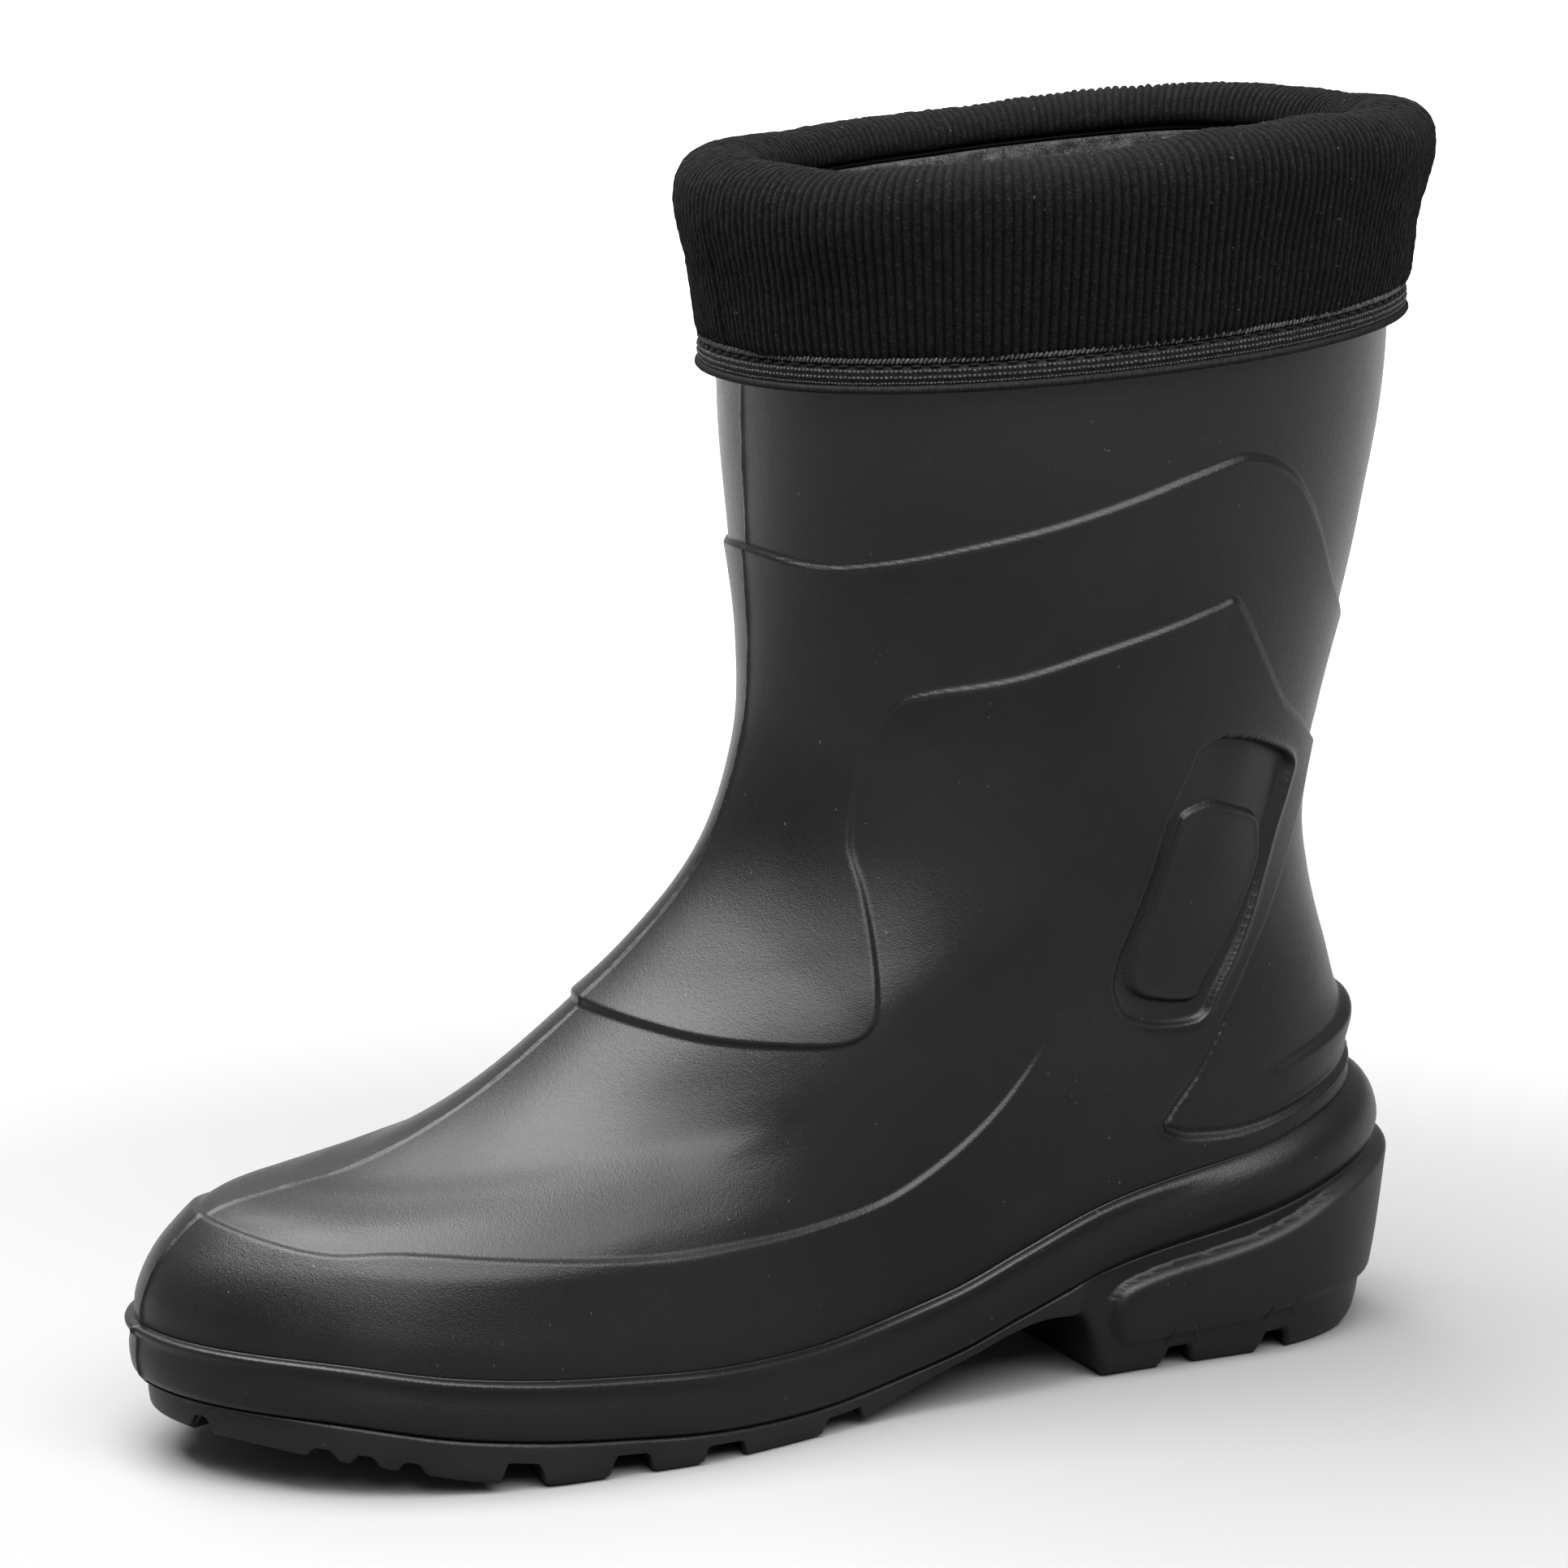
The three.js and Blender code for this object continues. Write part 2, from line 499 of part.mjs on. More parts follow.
const liner = FLOOR + INSOLE + GAP;
add('boot_shell', makeShell(), RUBBER);
add('outsole', makeOutsole(), SOLE);
add('insole', floorPiece(WALL + 1.8, FLOOR + 0.8, FLOOR + INSOLE), FLEECE_LOOK);
add('liner_outer_half', linerPart(TAPE_FRONT, Math.PI - TAPE_BACK, 13), FLEECE_LOOK);
add('liner_inner_half', linerPart(Math.PI + TAPE_BACK, 2 * Math.PI - TAPE_FRONT, 13), FLEECE_LOOK);
add('liner_sole', floorPiece(LINER_IN + 1.8, liner, liner + FLEECE), FLEECE_LOOK);
add('liner_front_seam', linerPart(-TAPE_FRONT + 0.012, TAPE_FRONT - 0.012, 3), FLEECE_LOOK);
add('liner_back_seam', linerPart(Math.PI - TAPE_BACK + 0.012, Math.PI + TAPE_BACK - 0.012, 3),
  FLEECE_LOOK);
add('liner_join_seam', cuffRing(JOIN), THREAD);
add('cuff', cuffRing(CUFF), RIBBED);
add('hem_overlock', cuffRing(HEM_OVERLOCK), THREAD);
add('hem_band', cuffRing(HEM_BAND), THREAD);
add('hem_roll', cuffRing(HEM_ROLL), THREAD);

export default boot;
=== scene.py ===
import math

import bmesh
import bpy
import numpy as np
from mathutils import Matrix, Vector


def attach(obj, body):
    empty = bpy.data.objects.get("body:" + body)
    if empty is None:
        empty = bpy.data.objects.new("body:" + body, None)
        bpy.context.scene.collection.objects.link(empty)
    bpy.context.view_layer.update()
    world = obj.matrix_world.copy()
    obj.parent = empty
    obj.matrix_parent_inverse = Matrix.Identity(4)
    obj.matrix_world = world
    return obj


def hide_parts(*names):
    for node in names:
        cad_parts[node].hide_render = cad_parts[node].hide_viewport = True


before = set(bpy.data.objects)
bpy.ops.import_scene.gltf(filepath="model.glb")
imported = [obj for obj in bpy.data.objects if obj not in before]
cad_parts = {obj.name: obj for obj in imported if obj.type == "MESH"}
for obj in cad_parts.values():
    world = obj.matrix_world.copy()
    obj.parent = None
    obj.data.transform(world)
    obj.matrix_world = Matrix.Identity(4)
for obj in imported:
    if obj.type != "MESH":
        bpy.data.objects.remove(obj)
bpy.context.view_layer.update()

# A moulded foam-rubber stable boot (left foot) with a fleece sock liner whose ribbed cuff
# is folded out over the shaft. Lengths in this script are millimetres until a mesh is made.
# The toe points to -Y, the outer side of the foot to +X, the ground is z = 0.
SHIFT_Y = -1.0               # from the drawing's zero to the middle of the boot
WALL = 4.5                   # upper's thickness
LIP_WALL = 2.2               # the same at the shaft's top edge
GAP = 0.4                    # clearance between parts that touch
FLEECE = 3.0                 # sock's thickness
FLOOR = 7.5                  # moulded floor above the parting line
INSOLE = 4.0                 # footbed's top above the moulded floor
SHAFT_TOP = 258.0
SHAFT_MID, SHAFT_HALF = 66.0, 74.0          # shaft's middle along the foot, and half its length
HEM_TILT, RIM_TILT = 5.5, 3.0               # climb from the middle to the back, at hem and rim
HEM_Z = 217.0                # the climb is the hem's up to here
TILT_Z, TILT_RUN = 170.0, 60.0              # where the climb starts, and how soon it is full
JOIN_Z = 261.0               # seam between the sock and the cuff, inside the opening
LINER_OUT = WALL + 1.3       # sock's outer and inner faces, inwards from the upper's outer face
LINER_IN = LINER_OUT + FLEECE

# Key rings climbing the boot: front y, front z, back y, back z, how much of the sole's curve
# is kept, half widths at ball, waist, heel, length and roundness of the front end and of the
# back end, and the inner side's share of the ball's width.
RINGS = np.array([
    [-144.2, 18.3, 143, 44, 1, 51.5, 40, 37.5, 76, 1.95, 48, 2.15, 0.95],
    [-145, 30, 137.2, 59, 1, 51, 40, 36.5, 77, 1.92, 48, 2.1, 0.95],
    [-142.6, 39, 135.8, 68, 0.85, 49, 40, 35.5, 78, 1.92, 48, 2.05, 0.95],
    [-137.5, 46.5, 134.5, 76, 0.7, 47.5, 40.5, 35, 80, 1.9, 48, 2, 0.95],
    [-128, 53.5, 132, 85, 0.52, 46, 41, 35, 84, 1.9, 49, 2, 0.96],
    [-113, 57.3, 129.5, 93, 0.38, 44.5, 41, 35.2, 86, 1.88, 50, 2, 0.97],
    [-97, 60.5, 127.5, 100, 0.26, 43.5, 41, 35.8, 86, 1.86, 51, 2, 0.98],
    [-78.5, 67.1, 126, 106.5, 0.14, 42.5, 41, 36.8, 84, 1.8, 52, 2, 0.99],
    [-60, 77.2, 125, 112, 0.06, 42, 41.3, 38, 80, 1.74, 54, 2, 1],
    [-36.6, 94.8, 124.5, 118, 0, 42.5, 42.3, 40, 76, 1.66, 56, 2, 1],
    [-17.5, 116, 124.8, 125, 0, 44, 44, 43, 70, 1.66, 60, 2, 1],
    [-8.4, 138.4, 125.5, 137, 0, 46.5, 46.5, 46.5, 67, 1.72, 64, 2, 1],
    [-6.3, 159.1, 129.5, 157, 0, 50, 50, 50, 68, 1.86, 67, 2, 1],
    [-7, 183, 135, 183, 0, 54.5, 54.5, 54.5, 72, 2.02, 71, 2, 1],
    [-8.1, 213, 140, 213, 0, 58, 58, 58, 74, 2.15, 74, 2, 1],
    [-8.1, SHAFT_TOP, 140, SHAFT_TOP, 0, 58, 58, 58, 74, 2.15, 74, 2, 1],
], float)
TOP = len(RINGS) - 1
STRAIGHT = TOP - 1           # the shaft runs straight up from this ring
# Line where the upper meets the sole, in side view: y, z.
PARTING = np.array([
    (-146, 18.3), (-119, 16), (-95, 12), (-60, 8.2), (-30, 6.3), (-8, 6.5), (8, 8.8),
    (23, 12.5), (38, 18), (59, 25), (98, 32.2), (127, 39.5), (145, 44.5)], float)
BALL_Y, WAIST_Y, HEEL_Y = -48.0, 18.0, 85.0

# Relief lines in side view. Each row: y, z, height on the line's left, height on its right,
# going along it.
SHAFT_LIP = [
    (-12, 184, 0, 1.0), (-2, 180, 0, 1.2), (9, 182, 0, 1.2), (23, 186, 0, 1.2),
    (38, 190, 0, 1.2), (55, 195, 0, 1.2), (69, 199, 0, 1.2), (82, 201, 0, 1.2),
    (94, 196, 0, 1.2), (103, 186, 0, 1.2), (113, 171, 0, 1.2), (123, 161, 0, 1.2),
    (133, 153, 0, 1.3)]
PANEL_LIP = [
    (-50, 88, 1.2, 0), (-39, 85, 1.2, 0), (-29, 83, 1.2, 0), (-16, 82, 1.2, 0),
    (-4, 82, 1.2, 0), (2, 85, 1.2, 0), (4, 91, 1.2, 0), (5, 101, 1.2, 0), (5, 112, 1.1, 0),
    (4, 120, 1, 0), (5, 128, 0.9, 0.1), (7, 140, 0.6, 0.5), (9, 144, 0.5, 0.7),
    (12, 151, 0.3, 1), (18, 154, 0.1, 1.2), (33, 157, 0, 1.2), (49, 162, 0, 1.2),
    (63, 166, 0, 1.2), (77, 170, 0, 1.3), (81, 171, 0, 1.3), (84, 168, 0, 1.3),
    (93, 155, 0, 1.2), (100, 146, 0, 1.2), (108, 140, 0, 1.2), (116, 134, 0, 1)]
VAMP_LIP = [
    (-131, 51, 0, 0.9), (-116, 48, 0, 1.1), (-101, 48, 0, 1.2), (-78, 46, 0, 1.2),
    (-52, 44, 0, 1.2), (-34, 44, 0, 1.2), (-14, 45, 0, 1.2), (7, 49, 0, 1.2),
    (26, 60, 0, 1.1), (40, 73, 0, 0.7), (48, 85, 0, 0)]
HEEL_LIP = [
    (117, 139, 0, 0), (116, 132, -0.6, 0.3), (114, 125, -1, 0.5), (112.5, 118, -1.2, 0.5),
    (109.5, 110.5, -1.3, 0.5), (103.5, 99, -1.4, 0.5), (97, 88.5, -1.5, 0.5),
    (89, 75.5, -1.6, 0.5), (83, 65.5, -1.7, 0.5), (77.5, 59, -1.7, 0.5), (75, 56, -1.7, 0.5),
    (74.5, 54.5, -1.6, 0.4), (76, 53, -1.5, 0.3), (80.5, 51.6, -1.4, 0.2), (88.5, 51, -1.4, 0.2),
    (94.5, 51.2, -1.4, 0.2), (101, 52, -1.4, 0.2), (110.5, 54, -1.4, 0.2),
    (119.5, 56.3, -1.3, 0.2), (127, 58.7, -1.2, 0.2), (134, 61, -1.1, 0.2)]
SPUR_LIP = [
    (96, 61, 0, 0), (104, 63, 0, 0.7), (111, 65, 0, 1.3), (124, 69, 0, 2.1),
    (132, 73, 0, 2.3), (139, 76, 0, 2.3)]
ANKLE_POCKET = [
    (84.5, 140), (80.5, 140), (76.5, 138), (74.5, 133), (72.5, 129), (70, 121), (68, 111),
    (65, 101), (62, 93.5), (61, 88), (62, 84), (65, 80), (72, 77.5), (80.5, 77), (84.5, 78.5),
    (87, 83), (93.5, 94), (98.5, 106), (102, 118), (104.8, 127), (105.6, 131), (101.5, 134.5),
    (91.5, 138.5)]
ANKLE_PAD = [
    (84, 125.5), (78.5, 125), (75, 123.5), (73.5, 120), (71, 111.5), (68.5, 101.5),
    (65.5, 93), (65, 87.5), (66.5, 85), (70.5, 83), (78, 81.5), (82.5, 82), (84.5, 85.5),
    (89.5, 93.5), (95, 102.5), (98, 110), (98, 115.5), (96, 121), (90.5, 123.5)]

# Sole unit: its underside in side view, the raised pad round the heel, and the tread.
SOLE_BOTTOM = np.array([
    (-146, 10.5), (-125, 8.5), (-105, 5), (-90, 2), (-74, 0), (-14, 0), (-2, 0.8), (8, 4),
    (20, 8.5), (32, 13), (44, 16), (55.5, 15.5)], float)
ARCH_END, HEEL_START = 54.8, 62.4
HEEL_PAD = [
    (156, 44.5), (143, 42), (130, 38.5), (117, 34.8), (108, 31.2), (99, 28.4), (91, 26.6),
    (83, 25.2), (75, 24), (66, 21.8), (62.6, 19.6), (61.4, 17), (61.6, 14), (62.8, 10.5),
    (65.5, 8.2), (70, 7.6), (83, 8), (92, 8.5), (100, 9.3), (108, 10.1), (118, 10.8),
    (128, 11), (156, 11)]
# Grooves in from the edge. Each row: y at the edge, width, depth, reach.
GROOVES = [
    (-119.5, 5.5, 2.4, 8), (-112, 5.5, 2.4, 8), (-103.5, 5.5, 2.4, 9), (-81.5, 9.5, 4.9, 30),
    (-58, 10, 4.9, 32), (-36.5, 10.5, 4.9, 30), (-6, 11, 4.2, 22), (80, 8, 4.6, 18),
    (104.5, 8, 4.6, 18)]
GROOVE_SLANT = 0.14
# V grooves across the middle. Each row: y of the point, width, depth, arm length, angle.
CHEVRONS = [
    (-96, 4, 2.6, 20, 0.5), (-71, 4, 3, 21, 0.5), (-49, 4, 3, 21, 0.5), (-26, 4, 3, 19, 0.5),
    (92, 4, 3, 17, 0.4)]
TOE_GROOVE = (7, -126, 0.565, -0.825)       # start and direction of the groove at the toe


# ---- small maths
def clamp(v, low=0.0, high=1.0):
    return np.minimum(high, np.maximum(low, v))


def mix(a, b, t):
    return a + (b - a) * t


def ease(t):
    c = clamp(t)
    return c * c * (3 - 2 * c)


def bell(t):
    return np.exp(-(t ** 2))


def round_edge(d, radius):
    """0 outside an outline, rising in a quarter circle to 1 at that depth inside it."""
    return np.sqrt(np.maximum(0.0, 1 - (1 - clamp(d / radius)) ** 2))


def spline(x, stations, values):
    """Smooth curve through values at stations, for any number of points at once."""
    x = np.asarray(x, float)
    stations, values = np.asarray(stations, float), np.asarray(values, float)
    i = np.clip(np.searchsorted(stations, x, side="right") - 1, 0, len(stations) - 2)
    wide = (None,) * (values.ndim - 1)
    h = (stations[i + 1] - stations[i])[(..., *wide)]
    t = (x - stations[i])[(..., *wide)] / h
    rise = np.diff(values, axis=0) / np.diff(stations)[(..., *wide)]
    slope = np.concatenate([rise[:1], (rise[:-1] + rise[1:]) / 2, rise[-1:]])
    return ((2 * t ** 3 - 3 * t ** 2 + 1) * values[i] + (t ** 3 - 2 * t ** 2 + t) * h * slope[i]
            + (3 * t ** 2 - 2 * t ** 3) * values[i + 1] + (t ** 3 - t ** 2) * h * slope[i + 1])


def wobble(x, seed, scales, gains=(1.0, 0.5, 0.3)):
    """Repeatable smooth noise of one variable, about -1 to 1."""
    rng = np.random.default_rng(seed)
    total = np.zeros_like(x)
    for scale, gain in zip(scales, gains):
        fast = np.sin(x * scale + rng.uniform(0, 6.3))
        slow = np.sin(x * scale * 0.37 + rng.uniform(0, 6.3))
        total += gain * fast * slow
    return total / sum(gains)


def smooth_line(rows, closed=False, parts=5):
    """Rounds a coarse line by running a smooth curve through its rows."""
    rows = np.array(rows, float)
    if closed:
        wrapped = np.vstack([rows[-3:], rows, rows[:3]])
        t = np.arange(len(wrapped)) - 3.0
        return spline(np.linspace(0, len(rows), len(rows) * parts + 1)[:-1], t, wrapped)
    t = np.arange(len(rows), dtype=float)
    return spline(np.linspace(0, len(rows) - 1, (len(rows) - 1) * parts + 1), t, rows)


def nearest(y, z, line):
    """Signed distance to a line in side view, and the line's row there."""
    a, b = line[:-1], line[1:]
    step = b[:, :2] - a[:, :2]
    out_d, out_row = [], []
    for part in range(0, len(y), 20000):
        p = np.stack([y[part:part + 20000], z[part:part + 20000]], 1)
        rel = p[:, None] - a[None, :, :2]
        t = clamp((rel * step).sum(-1) / np.maximum((step ** 2).sum(-1), 1e-9))
        off = rel - t[..., None] * step
        d = np.hypot(off[..., 0], off[..., 1])
        k = d.argmin(1)
        n = np.arange(len(p))
        side = step[k, 0] * rel[n, k, 1] - step[k, 1] * rel[n, k, 0]
        out_d.append(d[n, k] * np.where(side < 0, -1, 1))
        out_row.append(a[k] + (b[k] - a[k]) * t[n, k][:, None])
    return np.concatenate(out_d), np.concatenate(out_row)


def inside(y, z, loop):
    """Whether each point is inside a closed outline, by counting crossings."""
    odd = np.zeros(len(y), bool)
    for (ay, az), (by, bz) in zip(loop[:, :2], np.roll(loop[:, :2], 1, axis=0)):
        if az != bz:
            odd ^= ((az > z) != (bz > z)) & (y < (by - ay) * (z - az) / (bz - az) + ay)
    return odd


def loop_distance(y, z, loop):
    """Distance to a closed outline, positive inside it."""
    d, _ = nearest(y, z, np.vstack([loop, loop[:1]]))
    return np.where(inside(y, z, loop), np.abs(d), -np.abs(d))


# ---- body surface
# Ring number and how much narrower the vamp is there, so that it slopes in like a roof.
SLOPE = np.array([
    (3, 0), (3.5, 0.03), (4, 0.078), (5, 0.14), (6, 0.17), (7, 0.14), (8, 0.07), (9, 0)])


def parting_at(y):
    return spline(clamp(y, PARTING[0, 0], PARTING[-1, 0]), PARTING[:, 0], PARTING[:, 1])


def slope_in(u, y):
    """Share of its half width that the vamp gives up above its lip."""
    share = spline(clamp(u, 3, 9), SLOPE[:, 0], SLOPE[:, 1])
    return share * ease((y + 128) / 25) * (1 - ease((y + 45) / 55))


def body_point(u, a):
    """Bare body on ring u at angle a: 0 front, a quarter turn outer side, half a turn back."""
    yf, zf, yb, zb, bow, ball, waist, heel, fr, fp, br, bp, inner = np.moveaxis(
        spline(u, np.arange(len(RINGS)), RINGS), -1, 0)
    y = mix(yf, yb, 0.5 - 0.5 * np.cos(a))
    side = np.where(np.abs(np.sin(a)) < 1e-9, 0, np.sign(np.sin(a)))
    wide = np.where(side < 0, ball * inner, ball)
    width = np.where(y < WAIST_Y, mix(wide, waist, ease((y - BALL_Y) / (WAIST_Y - BALL_Y))),
                     mix(waist, heel, ease((y - WAIST_Y) / (HEEL_Y - WAIST_Y))))
    front = (1 - (1 - clamp((y - yf) / fr)) ** fp) ** (1 / fp)
    back = (1 - (1 - clamp((yb - y) / br)) ** bp) ** (1 / bp)
    level = mix(RINGS[0, 1], RINGS[0, 3], (y - RINGS[0, 0]) / (RINGS[0, 2] - RINGS[0, 0]))
    z = mix(zf, zb, (y - yf) / (yb - yf)) + bow * (parting_at(y) - level)
    return np.stack([side * width * front * back * (1 - slope_in(u, y)), y, z], -1)


def body_normal(u, a):
    low, high = body_point(np.maximum(u - 0.03, 0), a), body_point(np.minimum(u + 0.03, TOP), a)
    n = np.cross(body_point(u, a + 0.02) - body_point(u, a - 0.02), high - low)
    return n / np.linalg.norm(n, axis=-1, keepdims=True)


def offset_point(u, a, d):
    return body_point(u, a) + body_normal(u, a) * np.asarray(d)[..., None]


def tilt(p):
    """Makes the shaft's top, the cuff and the hem climb a little towards the back."""
    climb = mix(HEM_TILT, RIM_TILT, clamp((p[..., 2] - HEM_Z) / (SHAFT_TOP - HEM_Z)))
    lift = climb * (p[..., 1] - SHAFT_MID) / SHAFT_HALF * ease((p[..., 2] - TILT_Z) / TILT_RUN)
    return p + np.stack([0 * lift, 0 * lift, lift], -1)


# Each relief line with how far its two sides take to die away, and how wide its step is.
LIPS = [(smooth_line(rows), fall, step) for rows, fall, step in (
    (SHAFT_LIP, 16, 1.3), (PANEL_LIP, 15, 1.25), (VAMP_LIP, 12, 1.3), (HEEL_LIP, 13, 2.2),
    (SPUR_LIP, 6, 3.2))]
HEEL_BEAD = LIPS[3][0]
POCKET, PAD = smooth_line(ANKLE_POCKET, True, 4), smooth_line(ANKLE_PAD, True, 4)
SOLE_PAD = smooth_line(HEEL_PAD, False, 4)
POCKET_DEPTH, PAD_HEIGHT = 1.3, 1.5
FAR, TINY = 1e3, 1e-5


def relief(y, z):
    """Height of the moulded pattern above the bare body, and how near its edges a point is."""
    height, near = np.zeros(len(y)), np.full(len(y), FAR)
    for line, fall, step in LIPS:
        d, row = nearest(y, z, line)
        share = ease(0.5 + d / step)
        away = np.exp(-np.abs(d) / fall)
        height += away * mix(row[:, 3], row[:, 2], share)
        live = np.abs(row[:, 2]) + np.abs(row[:, 3]) > 0.15
        near = np.minimum(near, np.where(live, np.abs(d), FAR))
    # the heel's ridge is a double bead along its lower run: crest, fine groove, lower crest
    d, row = nearest(y, z, HEEL_BEAD)
    live = clamp(-row[:, 2] / 1.5) * ease((z - 50) / 6 + (y < 77))
    live = live * (1 - ease((z - 64 - 0.35 * (y - 65)) / 6))
    height += live * (0.55 * bell((d + 0.5) / 0.6) - 0.35 * bell((d - 0.8) / 0.5)
                      + 0.5 * bell((d - 1.9) / 0.6))
    # the ankle's pocket is soft on its front side and crisp at its back
    d = loop_distance(y, z, POCKET)
    rear = ease((y - 70 - 0.33 * (z - 80)) / 12 + 0.5)
    deeper = (0.4 * ease((z - 96) / 30) + 1.9 * ease((z - 114) / 25)) * (1 - 0.5 * rear)
    height -= (POCKET_DEPTH + deeper) * round_edge(d + 0.3, mix(3.0, 2.2, rear))
    height += mix(0.15, 0.45, rear) * bell((d + 0.8) / 0.8)
    near = np.minimum(near, np.abs(d))
    d = loop_distance(y, z, PAD)
    height += mix(PAD_HEIGHT - 0.25, PAD_HEIGHT, rear) * round_edge(d, mix(2.2, 1.9, rear))
    height += 0.3 * bell((d - 1.0) / 0.6)
    near = np.minimum(near, np.abs(d))
    return height, near


# Band round the foot, from the parting line (0) to its top edge (1).
BAND_S = [0, 0.08, 0.2, 0.45, 0.66, 0.76, 0.86, 0.93, 0.97, 1]
BAND_FOOT = [0.0, 0.7, 1.0, 1.0, 0.55, 0.6, 1.5, 1.5, 0.9, -0.5]
BAND_HEEL = [-0.9, 0.6, 1.9, 2.8, 2.5, 2.0, 1.2, 0.5, -0.1, -0.8]


def band_out(s, y):
    """How far the band stands out from the bare body."""
    return mix(spline(s, BAND_S, BAND_FOOT), spline(s, BAND_S, BAND_HEEL), ease((y - 40) / 60))


def shell_point(u, a):
    """Finished outer face of the upper."""
    p = body_point(u, a)
    raised, _ = relief(p[:, 1], p[:, 2])
    raised = raised * ease((u - 1) / 0.5) * ease((TOP - 0.4 - u) / 0.4) - 0.6 * ease(1.6 - u)
    out = np.where(u <= 1, band_out(np.minimum(u, 1), p[:, 1]), raised)
    # flash left by the mould where its two halves met, down the middle of front and back
    across = np.abs(p[:, 0])
    along = p[:, 2] + 0.6 * p[:, 1]
    flash = bell(across / 0.42) * (0.42 + 0.2 * wobble(along, 3, (0.31, 1.1, 3.7)))
    out = out + np.where(p[:, 1] < 60, flash, 0.6 * flash)
    # the two halves never meet quite flush
    out = out + 0.14 * ease(0.5 - p[:, 0] / 0.8) * bell(across / 9)
    p = p + body_normal(u, a) * out[:, None]
    # the heel's ledge juts out at the very back
    p[:, 1] += 1.8 * bell((p[:, 2] - 69) / 5) * ease((p[:, 1] - 104) / 28)
    return p


# ---- meshes
def to_metres(p):
    p = np.array(p, float)
    p[..., 1] += SHIFT_Y
    return p * 0.001


def add_object(name, mesh):
    ob = bpy.data.objects.new(name, mesh)
    bpy.context.scene.collection.objects.link(ob)
    return ob


def mesh_object(name, points, faces):
    """A smooth mesh from points in millimetres and the point numbers of each face."""
    rows = faces.tolist() if isinstance(faces, np.ndarray) else faces
    me = bpy.data.meshes.new(name)
    me.from_pydata(to_metres(points).tolist(), [], rows)
    me.validate()
    bm = bmesh.new()
    bm.from_mesh(me)
    bmesh.ops.remove_doubles(bm, verts=bm.verts, dist=1e-8)
    bmesh.ops.dissolve_degenerate(bm, dist=1e-8, edges=bm.edges)
    bmesh.ops.recalc_face_normals(bm, faces=bm.faces)
    bm.to_mesh(me)
    bm.free()
    me.polygons.foreach_set("use_smooth", np.full(len(me.polygons), True))
    return add_object(name, me)


def paint(ob, name, values):
    """Gives each point of a mesh a number that its material can read."""
    layer = ob.data.attributes.new(name, "FLOAT", "POINT")
    layer.data.foreach_set("value", np.asarray(values, np.float32)[:len(ob.data.vertices)])


def tube_faces(rows, columns, start=0, closed=False):
    """Quads between rings of points, and between the last ring and the first if closed."""
    i, j = np.meshgrid(np.arange(rows if closed else rows - 1), np.arange(columns), indexing="ij")
    k = (j + 1) % columns
    here, there = i * columns, (i + 1) % rows * columns
    quads = np.stack([here + j, here + k, there + k, there + j], -1).reshape(-1, 4)
    return (start + quads).tolist()


def across_faces(ring):
    """Closes a ring by strips from one side to the other. Point 0 is the front end."""
    n = len(ring)
    faces = []
    for j in range(n // 2):
        a, b, c, d = ring[j], ring[j + 1], ring[(n - j) % n], ring[n - j - 1]
        faces.append([v for k, v in enumerate((a, b, d, c)) if v not in (a, b, d, c)[:k]])
    return [f for f in faces if len(f) > 2]


def arc_rows(low, high, spacing):
    """Ring numbers from low to high, about this far apart at the widest place."""
    u = np.linspace(low, high, 400)
    gap = np.zeros(len(u) - 1)
    for a in (0.0, 0.9, math.pi / 2, 2.3, math.pi):
        p = body_point(u, np.full(len(u), a))
        gap = np.maximum(gap, np.linalg.norm(np.diff(p, axis=0), axis=1))
    run = np.concatenate([[0], np.cumsum(gap)])
    return np.interp(np.linspace(0, run[-1], max(2, round(run[-1] / spacing))), run, u)


def refined_half(us, angles):
    """A flat mesh of (ring, angle) squares for one side, cut finer near moulded edges."""
    bm = bmesh.new()
    grid = [[bm.verts.new((u, a, 0)) for a in angles] for u in us]
    for r0, r1 in zip(grid, grid[1:]):
        for c in range(len(angles) - 1):
            bm.faces.new((r0[c], r0[c + 1], r1[c + 1], r1[c]))
    for reach in (4.5, 1.7):             # how near to an edge, in mm, each round cuts
        centres = np.array([f.calc_center_median()[:2] for f in bm.faces])
        p = body_point(centres[:, 0], centres[:, 1])
        _, near = relief(p[:, 1], p[:, 2])
        near = np.minimum(near, np.abs(p[:, 0]) * (2.0 if reach > 2 else 1.2))
        free = (centres[:, 0] > us[2]) & (centres[:, 0] < us[-4])
        low_band = centres[:, 0] < 1.0
        pick = free & np.where(low_band, np.abs(p[:, 0]) < reach / 2, near < reach)
        bm.faces.ensure_lookup_table()
        edges = {e for f, wanted in zip(bm.faces, pick) if wanted for e in f.edges}
        bmesh.ops.subdivide_edges(bm, edges=list(edges), cuts=1, use_grid_fill=True)
    bmesh.ops.triangulate(bm, faces=[f for f in bm.faces if len(f.verts) > 4])
    bm.verts.ensure_lookup_table()
    params = np.array([v.co[:2] for v in bm.verts])
    faces = [[v.index for v in f.verts] for f in bm.faces]
    bm.free()
    return params, faces


